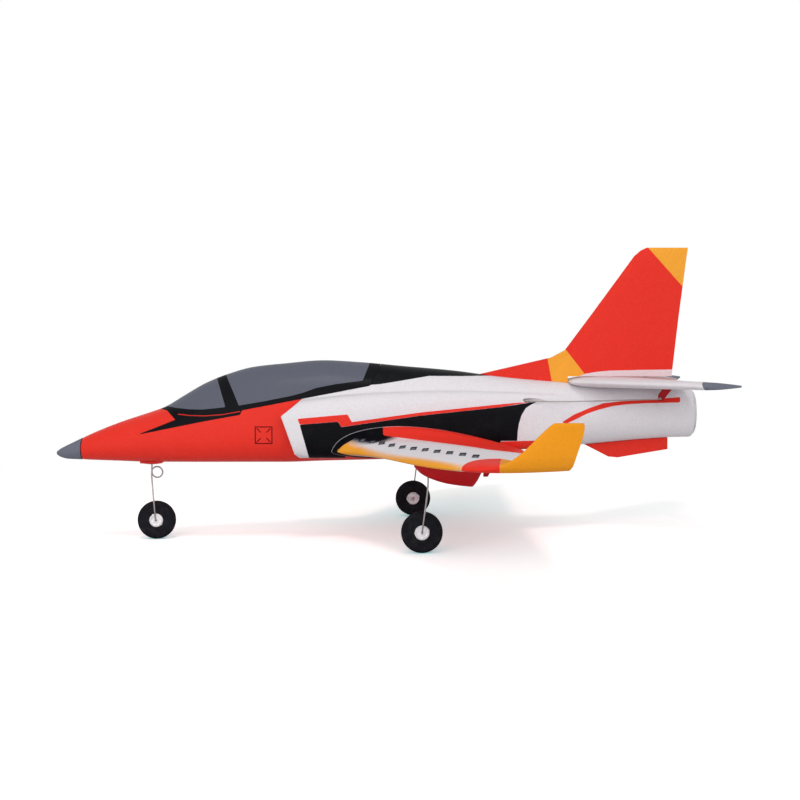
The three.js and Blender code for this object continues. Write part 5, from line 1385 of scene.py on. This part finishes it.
# The wheel caps' pale pink is a painted reflection of the red body.
moulded_plastic("cap_pink_reflection", (226, 200, 212), 0.36, wear=0.1)
moulded_plastic("horn_red", (168, 4, 16), 0.4, wear=0.15)
moulded_plastic("foot_red", (222, 50, 42), 0.42, wear=0.15)
moulded_plastic("servo_blue", (42, 79, 143), 0.3)
moulded_plastic("arm_white", (236, 236, 238), 0.38)
moulded_plastic("housing_black", (24, 25, 28), 0.42)
moulded_plastic("rotor_black", (24, 25, 29), 0.4, shine=0.1)
moulded_plastic("receiver_black", (28, 29, 33), 0.5, grain=0.05)
# Grey panels on the black vortex fins' sides: a painted sheen.
moulded_plastic("fin_face_sheen_grey", (96, 100, 108), 0.5, shine=0.05)
drawn_metal("wire_steel", (158, 153, 150), 0.34)
drawn_metal("motor_metal", (150, 155, 164), 0.34, lie=(2.4, 0.2, 0.2))
drawn_metal("magnet_nickel", (196, 197, 200), 0.2)
shrink_wrap("battery_wrap", (38, 74, 140))
shrink_wrap("controller_wrap", (30, 31, 36), 0.24)
tyre_rubber("tyre_foam")
woven_strap("strap_weave")
ply_grain("tray_ply")
drawn_carbon("spar_carbon")
rolled_film("tube_film")


# Small fins on each wing: airframe X and distance from the centre line of each, and their outline, aft and up
VORTEX_FINS = [
    (301.4, 69.9), (310.7, 78.1), (319.3, 92.8), (328.3, 113.6), (337.6, 135.7), (347, 154.5), (356.6, 174),
    (366, 195.1), (375.8, 213.4), (385.7, 231.4), (395, 251.4),
]
VORTEX_OUTLINE = [(0, 0), (5.6, 0), (7.2, 2.6), (1.6, 2.6)]
VORTEX_FACES = [(0, 1, 2, 3), (7, 6, 5, 4), (0, 4, 5, 1), (1, 5, 6, 2), (2, 6, 7, 3), (3, 7, 4, 0)]
FIN_HALF, FIN_TOE, FIN_FOOT = 0.6, math.radians(12), -0.3
# The grey faces stand just off each fin's sides, a painted sheen on the black fins.
FACE_STAND, FACE_MARGIN, FACE_FOOT = 0.06, 0.792, 0.195


def vortex_fin(tree, side, x, reach, half, margin, foot):
    """Points and faces of one small fin that leans aft, its foot at a height from the wing's top."""
    down = TO_FRAME.to_3x3() @ Vector((0, 0, -1))
    ahead = Vector((math.cos(FIN_TOE), side * math.sin(FIN_TOE), 0))
    across = Vector((-side * math.sin(FIN_TOE), math.cos(FIN_TOE), 0))
    length = VORTEX_OUTLINE[1][0]
    levels = []
    for along in (0, length):
        spot = Vector((x, side * reach, PROFILE)) + ahead * along
        levels.append((TO_AIRFRAME @ tree.ray_cast(TO_FRAME @ spot, down)[0]).z)
    points = []
    for y in (-half, half):
        for i, (along, rise) in enumerate(VORTEX_OUTLINE):
            along += margin if i in (0, 3) else -margin
            height = max(rise - margin, 0) if rise else foot
            level = mix(*levels, along / length)
            points.append(Vector((x, side * reach, level + height)) + ahead * along + across * y)
    return points, VORTEX_FACES


def joined(name, parts):
    """One mesh from several parts' points and faces."""
    points, faces = [], []
    for own_points, own_faces in parts:
        faces += [tuple(i + len(points) for i in face) for face in own_faces]
        points += own_points
    return mesh_of(name, points, faces)


# Fan
HUB_REAR, ROTOR_LENGTH, SHAFT_RADIUS, MOTOR_FRONT, BEARING_DEPTH = 412, 16, 1.5, 413.15, 13
SEAT_FRONT, SEAT_RADIUS, VANE_THICKNESS, VANES = 415.45, 10.3, 1.4, 5
BLADE_CHORD, BLADE_THICKNESS, BLADE_CAMBER, BLADES, TIP_GAP = 12, 1.3, 0.45, 8, 0.5
ROOT_PITCH, TIP_PITCH, BLADE_RINGS, VANE_RINGS = 48, 28, 14, 6
FOIL_SIDES, RING_SIDES, HUB_RINGS, HUB_START = 32, 96, 40, 0.004
HUB_SHARES = [[0, 0], [0.07, 0.45], [0.28, 0.82], [0.55, 1], [1, 1]]
MOTOR_PROFILE = [
    (0, 8.6), (0.3, 9.2), (1, 9.85), (1.8, 10), (5, 10), (5.2, 9.6), (5.9, 9.6), (6.1, 10), (20.5, 10),
    (20.7, 9.6), (21.4, 9.6), (21.6, 10), (24.6, 10), (25.5, 9.7), (26, 9),
]
CENTRE_LINE = (0, 0, 0), (1, 0, 0)


def ring_about_x(x, radius):
    return [(x, radius * u, radius * v) for u, v in around(RING_SIDES)]


def wall_outline(front, rear, inner, wall):
    return [(front, inner), (rear, inner), (rear, inner + wall), (front, inner + wall)]


def aerofoil(chord, thickness, camber):
    """Rounded nose, thin tail and a bowed middle, about the half chord."""
    points = []
    for u, v in around(FOIL_SIDES):
        along = u / 2
        bulge = v * thickness / 2 * (1 - 0.55 * along * 2 * (1 if along > 0 else 0.2))
        points.append((along * chord, bulge + camber * (1 - 4 * along**2)))
    return points


def fan_blade(number):
    """Twisted blade with an aerofoil section, its tip on the housing's curve."""
    turn = Matrix.Rotation(2 * math.pi * number / BLADES, 4, "X")
    rings = []
    for share in np.linspace(0, 1, BLADE_RINGS):
        radius = mix(FAN_HUB * 0.7, FAN_RADIUS - TIP_GAP, share)
        pitch = math.radians(mix(ROOT_PITCH, TIP_PITCH, share))
        chord, thickness = BLADE_CHORD * mix(1, 0.88, share**2), BLADE_THICKNESS * mix(1.1, 0.7, share)
        ring = []
        for u, v in aerofoil(chord, thickness, BLADE_CAMBER):
            across = u * math.cos(pitch) - v * math.sin(pitch)
            x = HUB_REAR - BLADE_CHORD / 2 + u * math.sin(pitch) + v * math.cos(pitch)
            ring.append(turn @ Vector((x, across, math.sqrt(radius**2 - across**2))))
        rings.append(ring)
    return loft("blade", rings)


def fan_vane(number):
    """Straightening vane between the motor's seat and the housing."""
    turn = Matrix.Rotation(2 * math.pi * number / VANES, 4, "X")
    front, rear = SEAT_FRONT + FAN_WALL, FAN_REAR - FAN_WALL
    outline = aerofoil(rear - front, VANE_THICKNESS * 1.2, 0.5)
    return loft("vane", [
        [turn @ Vector(((front + rear) / 2 + u, v, radius)) for u, v in outline]
        for radius in np.linspace(SEAT_RADIUS + VANE_THICKNESS / 2, FAN_RADIUS + FAN_WALL / 2, VANE_RINGS)
    ])


# Fuselage and hatch
cheeks = [combined(cheek_mesh(side), "DIFFERENCE", lip_mesh()) for _, side in SIDES]
outer = remeshed(combined(body_mesh(), "UNION", *cheeks), SKIN_GRID, SKIN_ROUNDS)
room = box_mesh("room", (BAY_STEP, -BAY_HALF, 0), (BAY_REAR, BAY_HALF, HATCH_TOP + OVERRUN))
hollow = combined(body_mesh(-HATCH_WALL), "INTERSECT", room)
canopy = combined(outer, "INTERSECT", hatch_region(SEAM, SEAM))
canopy = combined(canopy, "DIFFERENCE", hollow, magnet_pocket(1))
mark_paint(canopy, "front_glass", "rear_glass")
mark_inside(canopy, outer)
smooth_piece("canopy_hatch_skin", canopy, "canopy_paint", "hatch", "glazing", "canopy_hatch")
shell = combined(outer, "DIFFERENCE", *fuselage_cuts())
for name, side in SIDES:
    near, far = sorted((side * SEAM / 2, side * (CHEEK_REACH + OVERRUN)))
    half_box = box_mesh("half", (0, near, -PROFILE), (FUSELAGE_LENGTH + OVERRUN, far, PROFILE))
    half_shell = combined(shell, "INTERSECT", half_box)
    mark_paint(half_shell, *(coat[0] for coat in FUSELAGE_COATS[:-1]))
    mark_inside(half_shell, outer)
    smooth_piece(f"fuselage_skin_{name}", half_shell, "fuselage_paint", "airframe", "red_foam",
                 f"fuselage_{name}")

cone_rings = [
    section(station * (NOSE_CONE_LENGTH - SEAM), 0, widest * PROFILE, half * BODY_WIDTH,
            (top - widest) * PROFILE, (widest - bottom) * PROFILE, 2, 2, CONE_SIDES)
    for station, top, bottom, widest, half in smooth_rows(NOSE_SHARES, np.linspace(NOSE_START, 1, CONE_RINGS))
]
cone = loft("cone", cone_rings, Vector((0, 0, NOSE_TIP_SHARE * PROFILE)))
smooth_piece("nose_cone_skin", cone, "nose_grey", "airframe", "grey_foam", "nose_cone")

# Wings, ailerons, pods and main gear
outer_tree = tree_of(outer)
for name, side in SIDES:
    inner_hinge, outer_hinge = wing_hinge(side, AILERON_INNER), wing_hinge(side, AILERON_OUTER)
    moving, fixed = split_at_hinge(wing_mesh(side), inner_hinge, outer_hinge, AILERON_TRAVEL)
    wing = combined(fixed, "DIFFERENCE", outer)
    for mesh in (wing, moving):
        mark_paint(mesh, *WING_PAINT)
        mark_seam(mesh, outer_tree)
    smooth_piece(f"wing_skin_{name}", wing, "wing_paint", "airframe", "white_foam", f"wing_{name}")
    aileron = f"{name}_aileron"
    smooth_piece(f"aileron_skin_{name}", moving, "wing_paint", aileron, "white_foam", f"aileron_{name}")
    point, half, _ = wing_hinge(side, AILERON_HORN_REACH)
    linkage = linkage_frame(point, outer_hinge[0] - inner_hinge[0])
    horn = horn_mesh(linkage, AILERON_HORN_DEPTH, AILERON_ARM, half + SEAM)
    horn = new_piece(f"aileron_horn_plate_{name}", horn, "horn_red", aileron, "red_plastic",
                     f"aileron_horn_{name}")
    bevelled(horn, 0.3)
    beside = side * (HORN_THICKNESS / 2 + ROD_RADIUS + BESIDE_GAP)
    through = -side * (HORN_THICKNESS / 2 + ROD_RADIUS)
    front, low = -AILERON_ROD_SPAN, -AILERON_SERVO_DROP - AILERON_ARM
    rod = wire_mesh("rod", at_linkage(linkage, [
        (front, through, low), (front, beside * 0.7, low), (front + ROD_RADIUS * 2, beside, low),
        (-ROD_RADIUS * 2, beside, -AILERON_ARM), (0, beside * 0.7, -AILERON_ARM), (0, through, -AILERON_ARM),
    ]), ROD_RADIUS, AILERON_ROD_STEPS)
    smooth_piece(f"aileron_rod_wire_{name}", rod, "wire_steel", f"{name}_aileron_rod", "steel",
                 f"aileron_pushrod_{name}")
    pod = pod_mesh(side, linkage, wing_mesh(side, SEAM))
    smooth_piece(f"pod_skin_{name}", pod, "pod_red", "airframe", "pod_red", f"wing_pod_{name}")
    axle_end = MAIN_WHEEL_REACH - HUB_WIDTH / 2 - CAP_WIDTH - 2 * SEAM
    axle_x, axle_height = MAIN_AXLE
    leg = wire_mesh("leg", [
        (MAIN_LEG_X, side * MAIN_LEG_REACH, MAIN_LEG_TOP), (MAIN_LEG_X, side * MAIN_LEG_REACH, POD_BOTTOM),
        (axle_x, side * MAIN_LEG_REACH, axle_height + WIRE_BEND),
        *axle_ends(axle_x, side * MAIN_LEG_REACH, side * axle_end, axle_height),
    ], WIRE_RADIUS, MAIN_LEG_STEPS)
    smooth_piece(f"main_leg_wire_{name}", leg, "wire_steel", "airframe", "steel", f"main_leg_{name}")
    make_wheel(f"{name}_", (axle_x, side * MAIN_WHEEL_REACH, axle_height), -side, f"{name}_wheel", "airframe")

    upper_tree = tree_of(combined(wing, "UNION", moving))
    blades = [vortex_fin(upper_tree, side, *place, FIN_HALF, 0, FIN_FOOT) for place in VORTEX_FINS]
    # Grey panels just off both sides of each fin: a painted sheen on the black fins.
    faces = [vortex_fin(upper_tree, side, *place, FIN_HALF + FACE_STAND, FACE_MARGIN, FACE_FOOT)
             for place in VORTEX_FINS]
    for piece, parts, finish, slot, edge in (
        ("vortex_fins", blades, "rotor_black", "black_plastic", 0.12),
        ("vortex_fin_sheen_faces", faces, "fin_face_sheen_grey", "grey_foam", 0.05),
    ):
        bevelled(new_piece(f"{piece}_{name}", joined(piece, parts), finish, "airframe", slot), edge)

# Tail
fixed = tail_mesh()
for name, side in SIDES:
    inner_hinge, outer_hinge, point, half, linkage, _ = elevator_horn_data(side)
    moving, fixed = split_at_hinge(fixed, inner_hinge, outer_hinge, ELEVATOR_TRAVEL)
    mark_tail(moving)
    elevator = f"{name}_elevator"
    smooth_piece(f"elevator_skin_{name}", moving, "tail_paint", elevator, "white_foam", f"elevator_{name}")
    horn = horn_mesh(linkage, ELEVATOR_HORN_DEPTH, ELEVATOR_ARM, half + SEAM, ELEVATOR_HORN_FRONT,
                     ELEVATOR_HORN_REAR)
    horn = new_piece(f"elevator_horn_plate_{name}", horn, "horn_red", elevator, "red_plastic",
                     f"elevator_horn_{name}")
    bevelled(horn, 0.3)
    rod = wire_mesh("rod", elevator_rod_points(side), ROD_RADIUS, ELEVATOR_ROD_STEPS)
    smooth_piece(f"elevator_rod_wire_{name}", rod, "wire_steel", f"{name}_elevator_rod", "steel",
                 f"elevator_pushrod_{name}")
mark_tail(fixed)
smooth_piece("tailplane_skin", fixed, "tail_paint", "airframe", "white_foam", "tailplane")
under = box_mesh("under", (TAIL_LEAD, -BODY_WIDTH, 0),
                 (FUSELAGE_LENGTH, BODY_WIDTH, TAIL_HEIGHT + TAIL_DEPTH / 2 + SEAM))
fin = diced(combined(fin_mesh(), "DIFFERENCE", body_mesh(GLUE_GAP), tail_mesh(GLUE_GAP), under), FIN_GRID)
mark_paint(fin, "fin_foot", "fin_patch", "fin_tip")
smooth_piece("fin_skin", fin, "fin_paint", "airframe", "red_foam", "fin")
ventral_outline = [(VENTRAL_FRONT + along * VENTRAL_LENGTH, -drop * VENTRAL_DROP)
                   for along, drop in VENTRAL_SHARES]
ventral = side_plate("ventral", ventral_outline, -VENTRAL_DEPTH / 2, VENTRAL_DEPTH / 2)
ventral = combined(ventral, "DIFFERENCE", body_mesh(SEAM))
bevelled(new_piece("ventral_fin_skin", ventral, "ventral_red", "airframe", "red_foam", "ventral_fin"), 0.8)

# Nose gear
arm_height = BAY_FLOOR + SERVO_BOSS + SERVO_HEIGHT + 2 * SEAM
axle_x, axle_height = NOSE_AXLE
spring_turn = [math.pi + 2 * math.pi * i / SPRING_STEPS for i in range(SPRING_STEPS + 1)]
loop = [
    (NOSE_LEG_X + SPRING_RADIUS + SPRING_RADIUS * math.cos(angle), -SPRING_PITCH * i / SPRING_STEPS,
     SPRING_HEIGHT + SPRING_RADIUS * math.sin(angle))
    for i, angle in enumerate(spring_turn)
]
leg = wire_mesh("leg", [
    (NOSE_LEG_X, 0, arm_height + ARM_THICKNESS + SEAM), (NOSE_LEG_X, 0, MOUNT_TOP),
    (NOSE_LEG_X, 0, SPRING_HEIGHT + SPRING_RADIUS), *loop,
    (NOSE_LEG_X + SPRING_PITCH * 0.7, -NOSE_LEG_OFFSET * 0.75, SPRING_HEIGHT - SPRING_RADIUS * 2.6),
    (axle_x - SPRING_PITCH * 0.6, -NOSE_LEG_OFFSET, axle_height + WHEEL_RADIUS),
    (axle_x, -NOSE_LEG_OFFSET, axle_height + WIRE_BEND),
    *axle_ends(axle_x, -NOSE_LEG_OFFSET, HUB_WIDTH / 2 + CAP_WIDTH + 2 * SEAM, axle_height),
], WIRE_RADIUS, NOSE_LEG_STEPS)
smooth_piece("nose_leg_wire", leg, "wire_steel", "steered_leg", "steel", "nose_leg")
make_wheel("nose_", (axle_x, 0, axle_height), 1, "nose_wheel", "steered_leg")
dome_rings = []
for i in range(1, DOME_STEPS):
    angle = math.pi * i / DOME_STEPS
    length, width = FOOT_LENGTH / 2 * math.sin(angle), FOOT_WIDTH / 2 * math.sin(angle)
    level = BELLY - FOOT_DEPTH * math.cos(angle)
    dome_rings.append([(NOSE_LEG_X + length * u, width * v, level) for u, v in around(DOME_SIDES)])
dome = loft("dome", dome_rings, Vector((NOSE_LEG_X, 0, BELLY - FOOT_DEPTH)),
            Vector((NOSE_LEG_X, 0, BELLY + FOOT_DEPTH)))
block = box_mesh("block", (NOSE_LEG_X - MOUNT_LENGTH / 2, -MOUNT_WIDTH / 2, BELLY - FOOT_DEPTH / 2),
                 (NOSE_LEG_X + MOUNT_LENGTH / 2, MOUNT_WIDTH / 2, MOUNT_TOP))
mount = combined(combined(dome, "DIFFERENCE", body_mesh(SEAM)), "UNION", block)
bore = round_bar("bore", (NOSE_LEG_X, 0, BELLY - OVERRUN), (NOSE_LEG_X, 0, 0), WIRE_RADIUS + AXLE_PLAY,
                 count=HOLE_SIDES)
mount = combined(mount, "DIFFERENCE", bore)
smooth_piece("nose_mount_skin", mount, "foot_red", "airframe", "red_plastic", "nose_gear_mount")

# Fan and exhaust tube
shell_outline = wall_outline(FAN_FACE, FAN_REAR, FAN_RADIUS, FAN_WALL)
seat_outline = wall_outline(SEAT_FRONT, FAN_REAR, SEAT_RADIUS, VANE_THICKNESS)
housing = combined(turned("shell", rounded(shell_outline, 1), *CENTRE_LINE, 128), "UNION",
                   turned("seat", rounded(seat_outline, 0.5), *CENTRE_LINE), *map(fan_vane, range(VANES)))
smooth_piece("fan_housing_moulding", housing, "housing_black", "airframe", "black_plastic", "fan_housing")
hub_rings = [ring_about_x(HUB_REAR - ROTOR_LENGTH + share * ROTOR_LENGTH, out * FAN_HUB)
             for share, out in smooth_rows(HUB_SHARES, np.linspace(HUB_START, 1, HUB_RINGS))]
hub = loft("hub", hub_rings, (HUB_REAR - ROTOR_LENGTH, 0, 0), (HUB_REAR, 0, 0))
shaft_hole = along_x("shaft_hole", HUB_REAR - ROTOR_LENGTH / 2 - SEAM, HUB_REAR + OVERRUN,
                     SHAFT_RADIUS + SEAM)
rotor = combined(combined(hub, "UNION", *map(fan_blade, range(BLADES))), "DIFFERENCE", shaft_hole)
smooth_piece("fan_rotor_moulding", rotor, "rotor_black", "rotor", "rotor_plastic", "fan_rotor")
can = loft("can", [ring_about_x(MOTOR_FRONT + along, radius) for along, radius in MOTOR_PROFILE],
           (MOTOR_FRONT, 0, 0), (MOTOR_FRONT + MOTOR_PROFILE[-1][0], 0, 0))
bearing = along_x("bearing", MOTOR_FRONT - OVERRUN, MOTOR_FRONT + BEARING_DEPTH, SHAFT_RADIUS + SEAM)
can = combined(can, "DIFFERENCE", bearing)
smooth_piece("fan_motor_can", can, "motor_metal", "airframe", "motor_metal", "fan_motor")
tube_outline = [(TUBE_FRONT, FAN_RADIUS), (TUBE_REAR, NOZZLE_RADIUS - TUBE_WALL), (TUBE_REAR, NOZZLE_RADIUS),
                (TUBE_FRONT, FAN_RADIUS + TUBE_WALL)]
tube = turned("tube", rounded(tube_outline, 0.25, 3), *CENTRE_LINE, 128)
smooth_piece("exhaust_tube_skin", tube, "tube_film", "airframe", "tube_film", "exhaust_tube")

# Parts of the CAD shown as they are, with their own finishes and softened edges
for finish, edge, nodes in (
    ("battery_wrap", 3, ["battery"]),
    ("tray_ply", 0.2, ["battery_tray"]),
    ("strap_weave", 0.3, ["battery_strap"]),
    ("controller_wrap", 1.6, ["speed_controller"]),
    ("receiver_black", 0.5, ["receiver"]),
    ("spar_carbon", 0.1, ["wing_spar"]),
    ("magnet_nickel", 0.25, ["hatch_magnet", "fuselage_magnet"]),
    ("wire_steel", 0.2, ["motor_shaft"]),
    ("wire_steel", 0.1, ["steering_pushrod"]),
    ("servo_blue", 0.5, ["steering_servo", "elevator_servo", "aileron_servo_left", "aileron_servo_right"]),
    ("arm_white", 0.25, ["steering_arm", "steering_servo_arm", "elevator_servo_arm", "aileron_servo_arm_left",
                         "aileron_servo_arm_right"]),
):
    for part in (frame["nodes"][node] for node in nodes):
        for place in part.material_slots:
            place.material = FINISHES[finish]
        part.modifiers.new("one_skin", "WELD").merge_threshold = 0.00001
        bevelled(part, edge, segments=3)


# Stage
FLOOR_HALF, FLOOR_FADE = 40, (0.4, 0.95)
FLOOR_GREY, WHITE = (0.79, 0.8, 0.81, 1), (1, 1, 1, 1)
PAPER_COLOUR, LIFT_COLOUR, LIFT_STRENGTH = (0.82, 0.57, 0.56, 1), (0.16, 0.97, 1, 1), 0.35
WORLD_LIGHT, WORLD_SEEN = 0.5, 1
# name, place, aim, size and power
LAMPS = (
    ("key_light", (-0.7, -2, 0.95), (0, 0, 0.1), 2.2, 16.5),
    ("top_light", (-0.1, -1.1, 2.3), (0, 0, 0.1), 0.6, 11),
    ("fill_light", (0.9, -2, 0.5), (0, 0, 0.12), 1.8, 9),
)


def stage_floor():
    """White paper: the camera's is warmer and its lift cooler, against the red belly's tint in the shadow."""
    mesh = bpy.data.meshes.new("floor")
    corners = [(-FLOOR_HALF, -FLOOR_HALF, 0), (FLOOR_HALF, -FLOOR_HALF, 0), (FLOOR_HALF, FLOOR_HALF, 0),
               (-FLOOR_HALF, FLOOR_HALF, 0)]
    mesh.from_pydata(corners, [], [(0, 1, 2, 3)])
    floor = linked("floor", mesh)
    floor.location.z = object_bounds()[0][2]
    material = bpy.data.materials.new("pale_floor")
    material.use_nodes = True
    tree = material.node_tree
    shader = tree.nodes["Principled BSDF"]
    shader.inputs["Base Color"].default_value = FLOOR_GREY
    shader.inputs["Roughness"].default_value = 0.9
    shader.inputs["Specular IOR Level"].default_value = 0.1
    paper = put(tree, "BsdfDiffuse", {"Color": PAPER_COLOUR}).outputs[0]
    paper = put(tree, "AddShader", {0: paper, 1: paper}).outputs[0]
    lift = put(tree, "Emission", {"Color": LIFT_COLOUR, "Strength": LIFT_STRENGTH}).outputs[0]
    white = put(tree, "Emission", {"Color": WHITE, "Strength": 1}).outputs[0]
    near = put(tree, "AddShader", {0: paper, 1: lift}).outputs[0]
    place = put(tree, "TexCoord").outputs["Object"]
    away = put(tree, "VectorMath", {0: place}, operation="LENGTH").outputs[1]
    seen = put(tree, "MixShader", {0: ramp(tree, away, *FLOOR_FADE), 1: near, 2: white}).outputs[0]
    path = put(tree, "LightPath").outputs["Is Camera Ray"]
    whole = put(tree, "MixShader", {0: path, 1: shader.outputs[0], 2: seen}).outputs[0]
    tree.links.new(whole, tree.nodes["Material Output"].inputs["Surface"])
    mesh.materials.append(material)


def area_light(name, place, target, size, energy):
    data = bpy.data.lights.new(name, "AREA")
    data.shape = "DISK"
    data.size = size
    data.energy = energy
    light = linked(name, data)
    light.location = place
    light.rotation_euler = (Vector(target) - Vector(place)).to_track_quat("-Z", "Y").to_euler()


def studio_world():
    world = bpy.data.worlds.new("studio")
    bpy.context.scene.world = world
    world.use_nodes = True
    tree = world.node_tree
    path = put(tree, "LightPath").outputs
    seen = figure(tree, "MAXIMUM", path["Is Camera Ray"],
                  figure(tree, "MAXIMUM", path["Is Glossy Ray"], path["Is Transmission Ray"]))
    background = tree.nodes["Background"].inputs
    background["Color"].default_value = WHITE
    tree.links.new(mixed_value(tree, seen, WORLD_LIGHT, WORLD_SEEN), background["Strength"])


stage_floor()
for lamp in LAMPS:
    area_light(*lamp)
studio_world()
